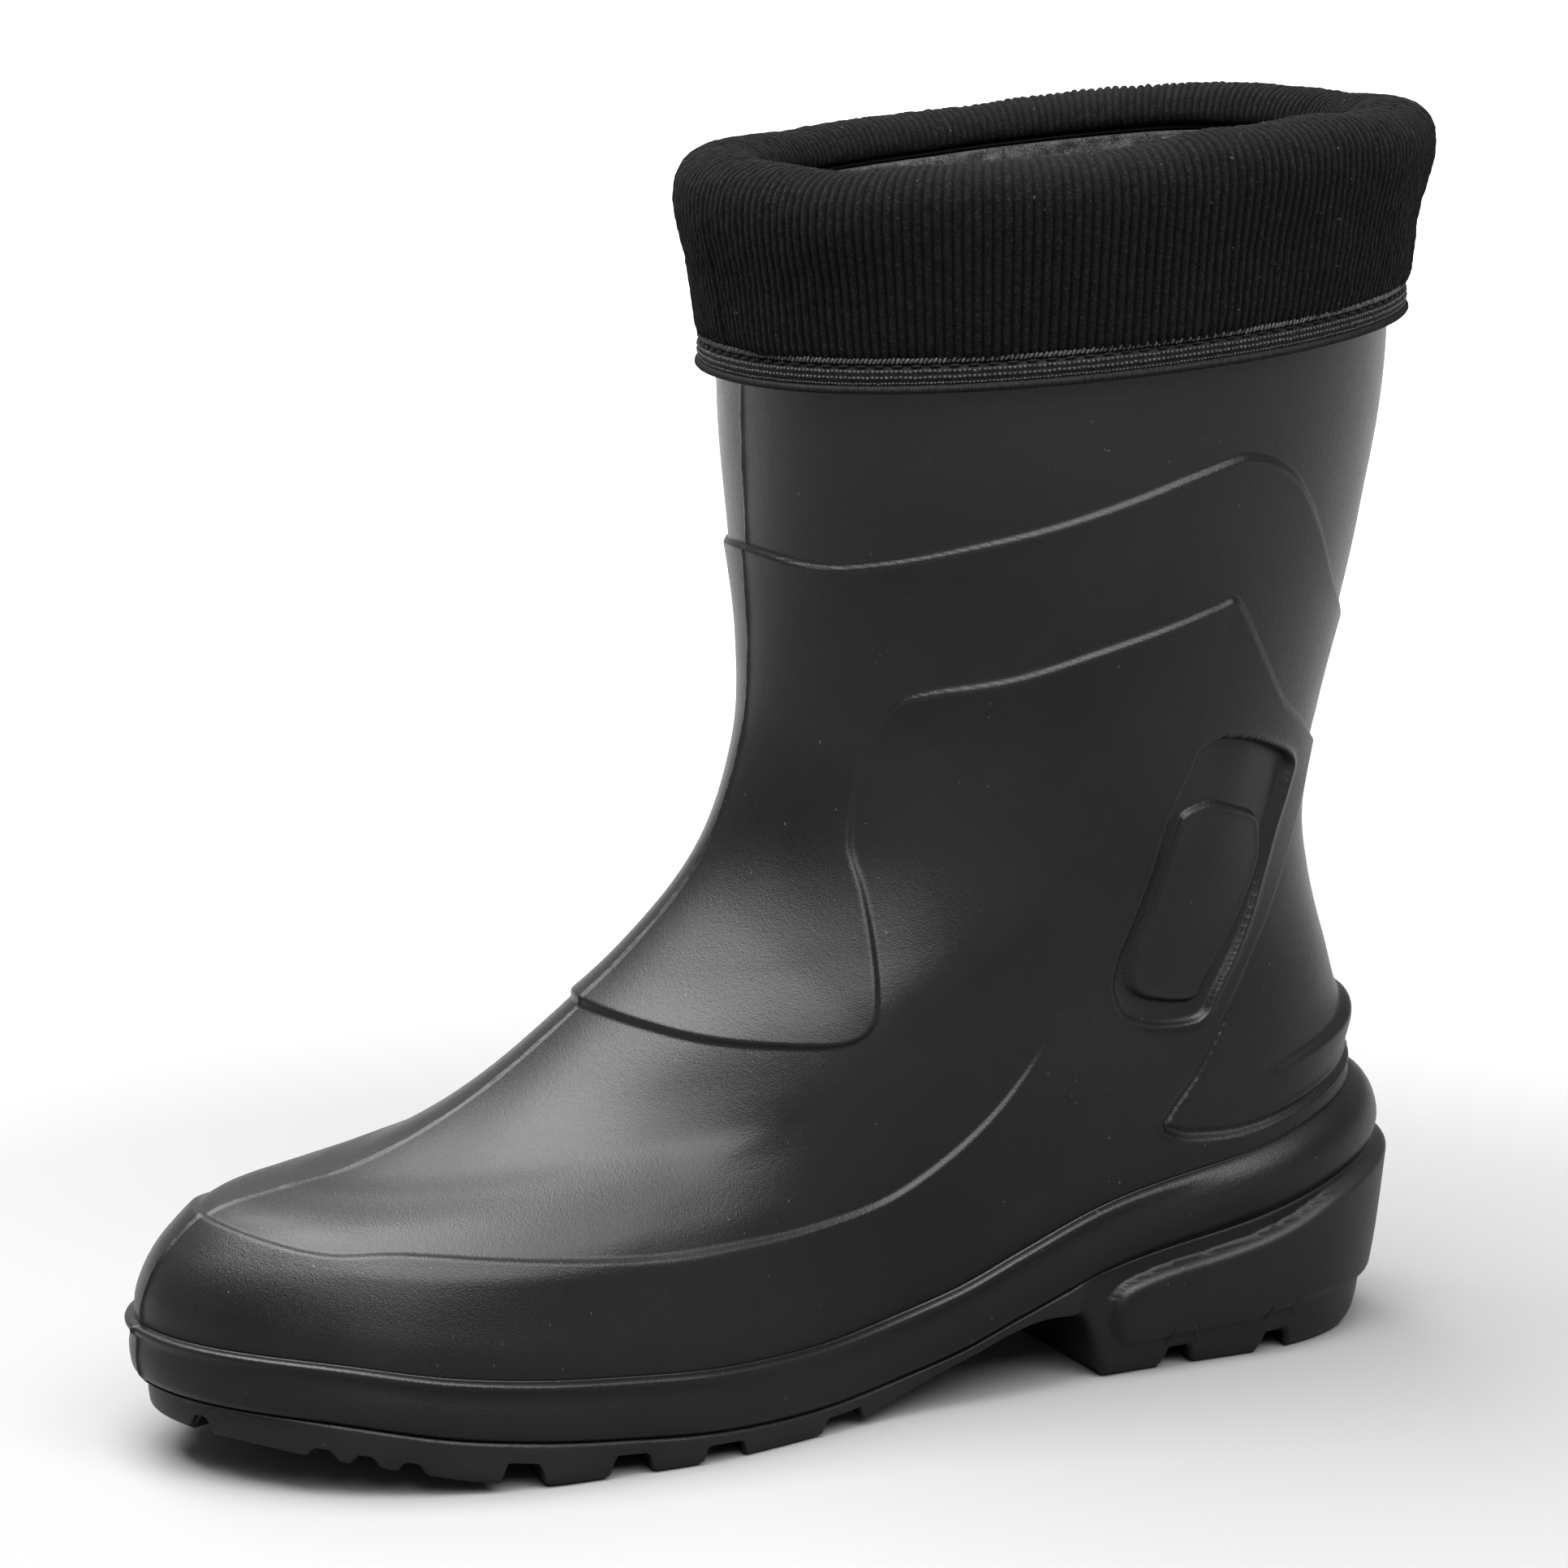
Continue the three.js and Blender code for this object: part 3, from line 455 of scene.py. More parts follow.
def make_upper():
    """The moulded upper: outer face, inner face, and the rings that join them."""
    us = np.concatenate([
        [0, 0.04, 0.08, 0.13, 0.2, 0.29, 0.38, 0.47, 0.56, 0.65, 0.72, 0.78, 0.83, 0.87, 0.9,
         0.93, 0.95, 0.97, 0.985, 1.0, 1.015, 1.04, 1.08, 1.14], arc_rows(1.24, TOP, 2.4)])
    angles = np.linspace(0, math.pi, 131)
    params, faces = refined_half(us, angles)
    u, a = params[:, 0], params[:, 1]
    a = np.where(np.abs(a) < TINY, 0, np.where(np.abs(a - math.pi) < TINY, math.pi, a))
    right, left = shell_point(u, a), shell_point(u, 2 * math.pi - a)
    middle = (a == 0) | (a == math.pi)
    right[middle, 0] = left[middle, 0] = 0
    left[middle] = right[middle]
    count = len(u)
    outer = tilt(np.vstack([right, left]))
    body = faces + [[count + v for v in f[::-1]] for f in faces]
    # inner face of the wall, on the same columns as the top edge
    columns = np.concatenate([angles, 2 * math.pi - angles[-2:0:-1]])
    inner_u = np.concatenate([[TOP, TOP - 0.02], np.linspace(14.6, 3, 34), [2.2, 1.5, 0.9]])
    rings = []
    for row, depth in zip(inner_u, [LIP_WALL] + [WALL] * 40):
        p = offset_point(np.full(len(columns), row), columns, np.full(len(columns), -depth))
        if row == TOP:
            p[:, 2] += 0.5
        p[:, 2] = np.maximum(p[:, 2], parting_at(p[:, 1]) + FLOOR + (2 if row > 1 else 0))
        p[[0, len(angles) - 1], 0] = 0
        rings.append(tilt(p))
    n = len(columns)
    start = 2 * count
    body += tube_faces(len(rings), n, start)
    body += across_faces([start + (len(rings) - 1) * n + j for j in range(n)])
    # the outer face's top and bottom rings, matched to the columns
    def ring_of(level):
        on = np.flatnonzero(np.abs(u - level) < TINY)
        half = on[np.argsort(a[on])].tolist()
        return half + [count + k for k in half[-2:0:-1]]
    top, bottom = ring_of(us[-1]), ring_of(us[0])
    body += [[top[j], top[(j + 1) % n], start + (j + 1) % n, start + j] for j in range(n)]
    body += across_faces(bottom)
    return mesh_object("upper", np.vstack([outer, *rings]), body)


def sole_bottom(y):
    """Height of the ground face: the forefoot, the arch, the heel's breast and the heel."""
    front = np.maximum(0, spline(np.minimum(y, 55.5), SOLE_BOTTOM[:, 0], SOLE_BOTTOM[:, 1]))
    breast = mix(15.2, 0, ease((y - ARCH_END) / 7.6))
    heel = 0.2 * np.maximum(0, (y - 128) / 4) ** 2
    return np.where(y > HEEL_START, heel, np.where(y > ARCH_END, np.minimum(front, breast), front))


def tread_depth(x, y, edge):
    """How far the tread's grooves rise above the ground face."""
    side = np.abs(x)
    depth = np.zeros_like(x)
    for at, width, deep, reach in GROOVES:
        inward = edge - side
        off = np.abs(y - (at + GROOVE_SLANT * inward)) * math.cos(GROOVE_SLANT)
        cut = ease((width / 2 + 0.3 - off) / 1.9) * ease((reach - inward) / 2.5)
        depth = np.maximum(depth, deep * cut)
    for at, width, deep, arm, angle in CHEVRONS:
        cy, sy = math.cos(angle), math.sin(angle)
        t = clamp(side * cy + (y - at) * sy, 0, arm)
        off = np.hypot(side - t * cy, y - at - t * sy)
        depth = np.maximum(depth, deep * ease((width / 2 + 0.3 - off) / 1.6))
    x0, y0, dx, dy = TOE_GROOVE
    t = clamp((side - x0) * dx + (y - y0) * dy, 0, 60)
    off = np.hypot(side - x0 - t * dx, y - y0 - t * dy)
    return np.maximum(depth, 3.8 * ease((3.2 - off) / 2))


# The sole's side from the parting line (0) to the ground (1), along the foot and round the
# heel, where it's set back and the pad stands on it.
FOOT_S = [0, 0.05, 0.16, 0.31, 0.55, 0.8, 0.9, 1]
FOOT_OUT = [-0.25, 0.15, 0.25, 0.2, 0.1, -0.1, -0.3, -1.0]
RECESS_S = [0, 0.06, 0.16, 0.3, 0.55, 0.78, 0.88, 1]
RECESS_OUT = [-0.6, -0.9, -1.1, -1.3, -1.8, -2.7, -3.3, -4.6]


def sole_out(s, y, z):
    """How far the sole's side stands outside the body's lowest ring."""
    foot = spline(s, FOOT_S, FOOT_OUT) - 2.4 * ease((-118 - y) / 20) * ease(s / 0.2)
    heel = spline(s, RECESS_S, RECESS_OUT)
    d = loop_distance(y, z, SOLE_PAD)
    down = clamp((parting_at(y) - 3 - z) / (parting_at(y) - 3 - 9))
    heel = heel + mix(3.9, 1.7, down) * round_edge(d + 0.2, 2.4)
    return mix(foot, heel, ease((y - 50) / 10))


def make_sole():
    """The sole: its side as rings, its treaded underside as straight rows, its flat top."""
    yf, yb = RINGS[0, 0], RINGS[0, 2]
    steps = np.concatenate([[0, 0.15, 0.5, 1.0], np.arange(1.7, yb - yf - 1.5, 0.82)])
    ys = np.concatenate([yf + steps, [yb - 1.0, yb - 0.5, yb - 0.15, yb]])
    half = np.arccos(np.clip(1 - 2 * (ys - yf) / (yb - yf), -1, 1))
    half[0], half[-1] = 0, math.pi
    around = np.concatenate([half, 2 * math.pi - half[-2:0:-1]])
    n = len(around)
    rows = np.concatenate([np.linspace(0, 0.36, 24), np.linspace(0.36, 0.74, 13)[1:],
                           np.linspace(0.74, 0.94, 14)[1:], [0.96, 0.98, 1]])
    base = body_point(np.zeros(n), around)
    normal = body_normal(np.full(n, 0.02), around)
    normal[:, 2] = 0
    normal /= np.linalg.norm(normal, axis=1, keepdims=True)
    top = parting_at(base[:, 1]) - GAP
    low = np.minimum(sole_bottom(base[:, 1]), top - 2.5)
    foot = base + normal * sole_out(np.ones(n), base[:, 1], low)[:, None]
    notch = tread_depth(foot[:, 0], foot[:, 1], np.abs(foot[:, 0]))
    share = 1 - clamp(notch / (top - low), 0, 0.6)
    points = []
    for s in rows:
        t = s * share
        z = mix(top, low, t)
        p = base + normal * sole_out(t, base[:, 1], z)[:, None]
        p[:, 2] = z
        if s > 0.93:         # soft corner where the side turns under
            p -= normal * (0.9 * ease((s - 0.93) / 0.07) ** 2)
        p[0, 0] = p[len(half) - 1, 0] = 0
        points.append(p)
    faces = tube_faces(len(rows), n)
    ring = points[-1]
    last = (len(rows) - 1) * n
    # underside: straight rows of points from one side to the other
    m = 100
    count = len(half)
    under, index = [], {}
    start = len(rows) * n
    for j in range(1, count - 1):
        r, l = ring[j], ring[n - j]
        t = np.linspace(0, 1, m + 1)[1:-1]
        x = mix(r[0], l[0], t)
        y = mix(r[1], l[1], t)
        edge = np.where(x > 0, r[0], -l[0])
        low_y = sole_bottom(y)
        inner = ease(np.minimum(t, 1 - t) * m / 2.0)
        z = mix(mix(r[2], l[2], t), low_y + tread_depth(x, y, edge), inner)
        index[j] = start + len(under) * (m - 1)
        under.append(np.stack([x, y, z], -1))
    for j in range(1, count - 1):
        row = [last + j] + [index[j] + k for k in range(m - 1)] + [last + n - j]
        if j == 1:
            faces += [[last, row[k], row[k + 1]] for k in range(m)]
        else:
            faces += [[prev[k], row[k], row[k + 1], prev[k + 1]] for k in range(m)]
        prev = row
    faces += [[prev[k], last + count - 1, prev[k + 1]] for k in range(m)]
    faces += across_faces(list(range(n)))
    return mesh_object("sole", np.vstack([*points, *under]), faces)


# ---- soft goods
def lumps(p, size, seed):
    """Repeatable smooth noise in space, about -1 to 1, with lumps of this size."""
    rng = np.random.default_rng(seed)
    table = rng.uniform(-1, 1, 4096)
    q = p / size + 1000.0
    cell = np.floor(q).astype(np.int64)
    f = q - cell
    f = f * f * (3 - 2 * f)
    total = 0
    for corner in range(8):
        bits = np.array([corner & 1, corner >> 1 & 1, corner >> 2 & 1])
        c = cell + bits
        key = (c[..., 0] * 73856093 ^ c[..., 1] * 19349663 ^ c[..., 2] * 83492791) % 4096
        weight = np.prod(np.where(bits, f, 1 - f), axis=-1)
        total = total + weight * table[key]
    return total * 1.6


RIM_U, SOCK_TOP = TOP - 0.5, TOP - 0.1      # rings of the shaft's rim and the sock's top


def even_angles(count):
    """Angles that share out the shaft's top edge into equal lengths."""
    a = np.linspace(0, 2 * math.pi, 2881)
    p = offset_point(np.full(len(a), RIM_U), a, np.full(len(a), 5))
    run = np.concatenate([[0], np.cumsum(np.linalg.norm(np.diff(p, axis=0), axis=1))])
    return np.interp(np.linspace(0, run[-1], count + 1)[:-1], run, a)


def rim_point(a, out, z):
    """A point this far outside the shaft's top, at this height before the tilt."""
    a, out, z = np.broadcast_arrays(a, out, z)
    p = offset_point(np.full(a.shape, RIM_U), a, out)
    p[..., 2] = z
    return tilt(p)


def rim_frame(a, out, z):
    """Place, way round, way out and way up for things sewn along the shaft's top."""
    p = rim_point(a, out, z)
    round_way = rim_point(a + 0.002, out, z) - rim_point(a - 0.002, out, z)
    round_way /= np.linalg.norm(round_way, axis=-1, keepdims=True)
    up = np.array([0, 0, 1.0]) - round_way * round_way[..., 2:3]
    up /= np.linalg.norm(up, axis=-1, keepdims=True)
    return p, round_way, np.cross(round_way, up), up


def pebble(rings=5, around=6):
    """A small closed round form about the origin, radius 1."""
    pts, faces = [(0, 0, -1)], []
    turns = [2 * math.pi * j / around for j in range(around)]
    for i in range(1, rings):
        t = math.pi * i / rings
        pts += [(math.sin(t) * math.cos(w), math.sin(t) * math.sin(w), -math.cos(t))
                for w in turns]
    pts.append((0, 0, 1))
    last = len(pts) - 1
    for j in range(around):
        k = (j + 1) % around
        faces.append((0, 1 + k, 1 + j))
        for i in range(rings - 2):
            r = 1 + i * around
            faces += [(r + j, r + k, r + around + k), (r + j, r + around + k, r + around + j)]
        r = 1 + (rings - 2) * around
        faces.append((r + j, r + k, last))
    return np.array(pts, float), np.array(faces)


def scattered(places, axes, sizes, form):
    """Copies of a small form, each with its own place, three axes and three sizes."""
    pts, faces = form
    p = places[:, None] + np.einsum("vk,nk,nkc->nvc", pts, sizes, axes)
    f = faces[None] + (np.arange(len(places)) * len(pts))[:, None, None]
    return p.reshape(-1, 3), f.reshape(-1, 3)


def stitches(a, out, z, long, wide, high, turn, form=None):
    """Thread stitches along the shaft's top: sizes in mm, turned in the cloth's plane."""
    p, way, outward, up = rim_frame(a, out, z)
    turn = np.broadcast_to(turn, a.shape)[:, None]
    along = way * np.cos(turn) + up * np.sin(turn)
    cross = np.cross(outward, along)
    axes = np.stack([outward, cross, along], 1)
    sizes = np.broadcast_to(np.array([high, wide, long]) / 2, (len(a), 3))
    return scattered(p, axes, sizes, form or pebble())


def joined(parts):
    """Several groups of points and faces as one."""
    pts, faces, start = [], [], 0
    for p, f in parts:
        pts.append(p)
        faces.append(f + start)
        start += len(p)
    return np.vstack(pts), np.vstack(faces)


# How far the soft crest has settled below, or risen above, its mean height on its way
# round the opening from the front by the outer side: angle in degrees, height.
SETTLE = np.array([
    (0, -4.5), (15, -4.6), (35, -3.9), (50, -3.2), (70, -2), (83, -0.2), (100, 2), (118, 1.3),
    (135, 0), (150, -0.3), (165, -0.8), (185, -1.7), (205, -2.1), (225, -1.7), (245, -2.2),
    (260, -3), (275, -4), (300, -4.1), (320, -3.6), (340, -4), (360, -4.5)])
SEAT, FOLD_UNDER = 258.6, 263.0   # a row that starts between these stays above the first


def settled(a, out, z):
    """Height of a point of the cuff or the liner's edge once the fold has settled."""
    drop = spline(np.degrees(a) % 360, SETTLE[:, 0], SETTLE[:, 1])
    round_way = np.linspace(0, 2 * math.pi, len(a), endpoint=False)
    drop = drop + 0.45 * np.sin(2 * round_way + 0.6) + 0.3 * np.sin(5 * round_way + 2.2)
    height = z + drop * ease((z - 236) / 22)
    lies = (out > -5) & (out < 2) & (z > SEAT) & (z < FOLD_UNDER)
    return np.where(lies, np.maximum(height, SEAT), height)


# The cuff's ribs, and its section as distance outside the shaft and height: the ribbed face
# from its lower edge up over the fold and in, then the back face that lies on the shaft.
WALES, WALE_COLUMNS, WALE_HEIGHT = 232, 6, 0.72
CUFF_FACE = np.array([
    (1.8, 228.3), (3.0, 228.5), (3.6, 229.4), (4.2, 232), (5.2, 238), (6.2, 245),
    (7.2, 250.5), (8.0, 255), (8.4, 259), (7.9, 262.8), (6.0, 265.8), (2.8, 267.5),
    (-1.2, 268), (-4.8, 267.5), (-7.6, 265.8), (-9.0, 263.6), (-9.4, 262.2), (-9.1, 261.1)])
CUFF_BACK = np.array([
    (-7.6, 260.6), (-5.8, 260.9), (-4.6, 262), (-1.6, 262.3), (1.2, 260.2), (2.1, 253),
    (1.4, 242), (0.9, 231)])


def make_cuff():
    """The folded cuff with its ribs. Each point's number is its height on the rib, from which its
    material paints shade between the ribs.
    """
    a = even_angles(WALES * WALE_COLUMNS)
    t = np.arange(len(CUFF_FACE), dtype=float)
    fine = spline(np.linspace(0, t[-1], 400), t, CUFF_FACE)
    run = np.concatenate([[0], np.cumsum(np.linalg.norm(np.diff(fine, axis=0), axis=1))])
    level = np.concatenate([[0, 0.4, 0.9], np.linspace(1.6, run[-1] - 0.8, 50), [run[-1]]])
    face = np.stack([np.interp(level, run, fine[:, k]) for k in (0, 1)], 1)
    slope = np.gradient(face, axis=0)
    slope /= np.linalg.norm(slope, axis=1, keepdims=True)
    out_way = np.stack([slope[:, 1], -slope[:, 0]], 1)
    wale = (np.arange(len(a)) % WALE_COLUMNS) / WALE_COLUMNS
    height = WALE_HEIGHT * (1 - np.abs(2 * wale - 1) ** 2.4)
    edge = ease(level / 1.5) * ease((run[-1] - level) / 1.5)
    points, rib = [], []
    slow = np.arange(len(a)) / len(a) * 2 * math.pi
    drift = 0.35 * np.sin(3 * slow + 1.0) + 0.25 * np.sin(7 * slow)
    for k, (q, way) in enumerate(zip(face, out_way)):
        at = np.stack([slow * 70, 0 * slow + level[k], 0 * slow], -1)
        puff = 0.35 * lumps(at, 16, 5)
        pile = 0.14 * lumps(at + 3, 0.9, 6) + 0.1 * lumps(at, 2.4, 7)
        lift = (height + pile) * edge[k] + puff * edge[k]
        lean = drift * ease((q[1] - 232) / 30) * 0.008
        out, z = q[0] + way[0] * lift, q[1] + way[1] * lift
        points.append(rim_point(a + lean, out, settled(a, out, z)))
        rib.append(np.clip(height / WALE_HEIGHT, 0, 1))
    for q in CUFF_BACK:
        out, z = np.full(len(a), q[0]), np.full(len(a), float(q[1]))
        points.append(rim_point(a, out, settled(a, out, z)))
        rib.append(np.zeros(len(a)))
    ob = mesh_object("ribbed_cuff", np.vstack(points),
                     tube_faces(len(points), len(a), closed=True))
    # the rib height also masks the painted shade between the ribs
    paint(ob, "wale", np.concatenate(rib))
    return ob


# The binding's outer face from its stitched top edge to its rolled lower edge, with the
# depth of the fine cross ribs on each row.
TAPE = np.array([
    (0.7, 227.1, 0), (2.4, 227.3, 0), (3.0, 227.2, 0), (3.2, 226.9, 0.05), (3.3, 226.5, 0.05),
    (3.7, 226.2, 0.1), (3.8, 225.8, 0.1), (3.55, 225.4, 0.05), (3.75, 225.0, 0.1),
    (3.85, 224.6, 0.1), (3.6, 224.2, 0.05), (3.45, 223.9, 0.05), (3.7, 223.65, 0.1),
    (3.65, 223.4, 0.1), (3.4, 223.2, 0), (3.9, 222.95, 0.2), (4.2, 222.5, 0.26),
    (4.25, 222.05, 0.26), (3.95, 221.65, 0.24), (3.3, 221.4, 0.15), (1.8, 221.4, 0),
    (0.7, 221.7, 0)])


def swept(name, section, count, period=2, settle=False):
    """A closed section swept round the shaft's top. A third number in a row is the height
    of its cross ribs. A rib and the gap beside it take up one period of columns."""
    a = even_angles(count)
    points = []
    for out, z, *rib in section:
        raised = out + (rib[0] if rib else 0) * (np.arange(count) % period < period / 2)
        height = np.full(count, float(z))
        points.append(rim_point(a, raised, settled(a, raised, height) if settle else height))
    return mesh_object(name, np.vstack(points), tube_faces(len(points), count, closed=True))


def make_hem():
    """The binding at the cuff's edge, its overlocked edge and its stitches."""
    tape = swept("hem_tape", TAPE, 2640, 4)
    base = swept("overlock_edge", np.array([
        (0.7, 227.4), (2.8, 227.3), (3.5, 227.5), (3.65, 228.1), (3.1, 228.6), (1.0, 228.6)]),
        240)
    a = even_angles(456)
    jitter = np.random.default_rng(4).normal(0, 1, (3, len(a)))
    lock = mesh_object("overlock_stitches", *stitches(
        a, 3.62 + 0.05 * jitter[0], 228.05 + 0.06 * jitter[1], 1.5, 0.62, 0.7,
        0.95 + 0.12 * jitter[2]))
    dots = []
    for count, out, z, long, wide, seed in (
            (440, 3.85, 226.0, 0.66, 0.62, 5), (440, 3.9, 224.8, 0.66, 0.62, 6),
            (560, 3.72, 223.6, 0.5, 0.4, 7)):
        a = even_angles(count)
        shake = np.random.default_rng(seed).normal(0, 1, (3, count))
        dots.append(stitches(a, out + 0.04 * shake[0], z + 0.05 * shake[1], long, wide, 0.5,
                             0.25 * shake[2]))
    chain = mesh_object("chain_stitches", *joined(dots))
    a = even_angles(112)
    line = mesh_object("running_stitches", *stitches(
        a, 3.5, 227.0, 2.5, 0.6, 0.65, 0.03, pebble(8, 8)))
    return tape, base, lock, chain, line


def make_sock():
    """The fleece sock, from the footbed up to the seam with the cuff, open below."""
    # rings are fine near the opening, where its nap is seen
    us = np.concatenate([arc_rows(1.12, STRAIGHT, 4.2),
                         np.linspace(STRAIGHT + 0.05, SOCK_TOP, 62)])
    a = even_angles(380)
    a = np.concatenate([a[a < math.pi - 1e-6], [math.pi], a[a > math.pi + 1e-6]])
    n = len(a)
    outer, inner = [], []
    for u in us:
        row = np.full(n, u)
        for into, rows in ((LINER_OUT, outer), (LINER_IN, inner)):
            p = offset_point(row, a, np.full(n, -into))
            if u > STRAIGHT:
                share = (u - STRAIGHT) / (SOCK_TOP - STRAIGHT)
                p[:, 2] = mix(RINGS[STRAIGHT, 1], JOIN_Z - 1.8, share)
                p[:, 2] = settled(a, np.full(n, -10.0), p[:, 2])
            rows.append(p)
    inner = np.array(inner)
    normal = (np.array(outer) - inner) / FLEECE
    nap = 0.42 * lumps(inner, 2.3, 11) + 0.3 * lumps(inner, 1.15, 12) + 0.3 * lumps(inner, 6, 13)
    inner = inner + normal * nap[..., None] * 0.9
    outer = np.array(outer)
    outer = outer + normal * (0.25 * lumps(outer, 4, 14) - 0.15)[..., None]
    # taped seams down the front and the back
    outer = outer + normal * 0.75 * round_edge(3.4 - np.abs(outer[..., :1]), 1.2)
    rows = [tilt(p) for p in outer] + [tilt(p) for p in inner[::-1]]
    return mesh_object("fleece_sock", np.vstack(rows), tube_faces(len(rows), n, closed=True))


def floor_piece(name, inset, low, high, rough=0.0):
    """A soft flat piece that lies along the boot's floor."""
    count = 200
    a = np.linspace(0, 2 * math.pi, count + 1)[:-1]
    edge = offset_point(np.full(count, 0.95), a, np.full(count, -inset))
    centre = np.stack([0 * edge[:, 0], edge[:, 1]], 1)
    # the middle line stops this short of the piece's ends
    short = 22
    centre[:, 1] = np.clip(centre[:, 1], edge[:, 1].min() + short, edge[:, 1].max() - short)
    shares = np.array([0, 0.012, 0.03, 0.06, 0.11, 0.18, 0.27, 0.38, 0.5, 0.62, 0.74, 0.86, 0.95])
    half = 0.5 * (high - low)
    def face_rows(z_of):
        rows = []
        for s in shares:
            x = mix(edge[:, 0], centre[:, 0], s)
            y = mix(edge[:, 1], centre[:, 1], s)
            p = np.stack([x, y, 0 * x], 1)
            p[:, 2] = parting_at(y) + z_of(s)
            if rough:
                p[:, 2] += rough * lumps(p, 2.6, 21) * ease(s / 0.06)
            rows.append(p)
        return rows
    lower = face_rows(lambda s: low + half * (1 - round_edge(np.float64(s), 0.03)))
    upper_side = face_rows(lambda s: high - half * (1 - round_edge(np.float64(s), 0.03)))
    rows = lower[::-1] + upper_side[1:]
    # each end closes along the middle line
    faces = tube_faces(len(rows), count)
    faces += across_faces(list(range(count)))
    faces += across_faces([(len(rows) - 1) * count + j for j in range(count)])
    return mesh_object(name, np.vstack(rows), faces)


# ---- build
upper = make_upper()
sole = make_sole()
cuff = make_cuff()
tape, lock_base, lock, chain, line = make_hem()
sock = make_sock()
sock_sole = floor_piece("sock_sole", LINER_IN + 1.8, FLOOR + INSOLE + GAP,
                        FLOOR + INSOLE + GAP + FLEECE, rough=0.25)
footbed = floor_piece("footbed", WALL + 1.8, FLOOR + 0.8, FLOOR + INSOLE)
join = swept("join_seam", np.array([
    (-5.6, 259.5), (-5.6, 260.3), (-7.2, 260.4), (-7.8, 260.1), (-7.6, 259.5)]), 360,
    settle=True)

for piece, nodes, body, slot in (
        (upper, ["boot_shell"], "boot", "rubber_upper"),
        (sole, ["outsole"], "boot", "rubber_sole"),
        (footbed, ["insole"], "boot", "fleece"),
        (sock, ["liner_outer_half", "liner_inner_half", "liner_front_seam",
                "liner_back_seam"], "liner", "fleece"),
        (sock_sole, ["liner_sole"], "liner", "fleece"),
        (join, ["liner_join_seam"], "liner", "thread"),
        (cuff, ["cuff"], "liner", "ribbed_cuff"),
        (tape, ["hem_band", "hem_roll"], "liner", "thread"),
        (lock_base, ["hem_overlock"], "liner", "thread"),
        (lock, [], "liner", "thread"), (chain, [], "liner", "thread"),
        (line, [], "liner", "thread")):
    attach(piece, body)
    if nodes:
        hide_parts(*nodes)


# ---- materials
class Nodes:
    """Short hand for building a material's nodes."""

    def __init__(self, name):
        self.material = bpy.data.materials.new(name)
        self.material.use_nodes = True
        self.tree = self.material.node_tree
        self.surface = self.tree.nodes["Principled BSDF"]
        self.place = self.tree.nodes.new("ShaderNodeTexCoord").outputs["Object"]

    def set(self, **values):
        for key, value in values.items():
            self.surface.inputs[key].default_value = value

    def link(self, output, key):
        self.tree.links.new(output, self.surface.inputs[key])

    def feed(self, socket, value):
        """Gives a socket another node's output, or a plain value."""
        if hasattr(value, "links"):
            self.tree.links.new(value, socket)
        else:
            socket.default_value = value

    def new(self, kind, **inputs):
        node = self.tree.nodes.new("ShaderNode" + kind)
        for key, value in inputs.items():
            self.feed(node.inputs[key], value)
        return node

    def noise(self, scale, detail=2.0, rough=0.5, stretch=None):
        place = self.place
        if stretch:
            place = self.new("Mapping", Vector=place, Scale=stretch).outputs["Vector"]
        return self.new("TexNoise", Vector=place, Scale=scale, Detail=detail,
                        Roughness=rough).outputs["Fac"]

    def ramp(self, value, low, high, a=0.0, b=1.0):
        node = self.new("MapRange", **{"Value": value, "From Min": low, "From Max": high,
                                       "To Min": a, "To Max": b})
        return node.outputs["Result"]

    def blend(self, share, a, b):
        node = self.tree.nodes.new("ShaderNodeMix")
        node.data_type = "RGBA"
        self.tree.links.new(share, node.inputs["Factor"])
        for key, value in (("A", a), ("B", b)):
            socket = next(s for s in node.inputs if s.name == key and s.type == "RGBA")
            self.feed(socket, value if hasattr(value, "links") else (*value, 1))
        return next(s for s in node.outputs if s.type == "RGBA")

    def math(self, kind, a, b):
        node = self.tree.nodes.new("ShaderNodeMath")
        node.operation = kind
        for socket, value in zip(node.inputs, (a, b)):
            self.feed(socket, value)
        return node.outputs[0]

    def bumps(self, *layers):
        """Each layer: height output, strength, depth in metres."""
        normal = None
        for height, strength, depth in layers:
            node = self.new("Bump", Height=height, Strength=strength, Distance=depth)
            if normal is not None:
                self.tree.links.new(normal, node.inputs["Normal"])
            normal = node.outputs["Normal"]
        self.link(normal, "Normal")


def rubber(name, dark, light, rough):
    """Foam rubber as it leaves the mould: matt, faintly clouded, fine grained."""
    m = Nodes(name)
    grain = m.noise(2600, 2.0, 0.6)
    peel = m.noise(900, 2.0, 0.5)
    cloud = m.noise(34, 3.0, 0.5)
    specks = m.ramp(m.noise(900, 1.0, 0.3), 0.8, 0.83)
    colour = m.blend(m.ramp(cloud, 0.35, 0.65), dark, light)
    m.link(m.blend(specks, colour, (0.03, 0.03, 0.03)), "Base Color")
    m.link(m.math("ADD", m.ramp(cloud, 0.3, 0.7, rough - 0.03, rough + 0.03),
                  m.ramp(grain, 0.3, 0.7, -0.06, 0.06)), "Roughness")
    m.set(**{"Specular IOR Level": 0.19})
    m.bumps((cloud, 0.1, 0.0010), (peel, 0.22, 0.00016), (grain, 0.8, 0.00009))
    return m.material


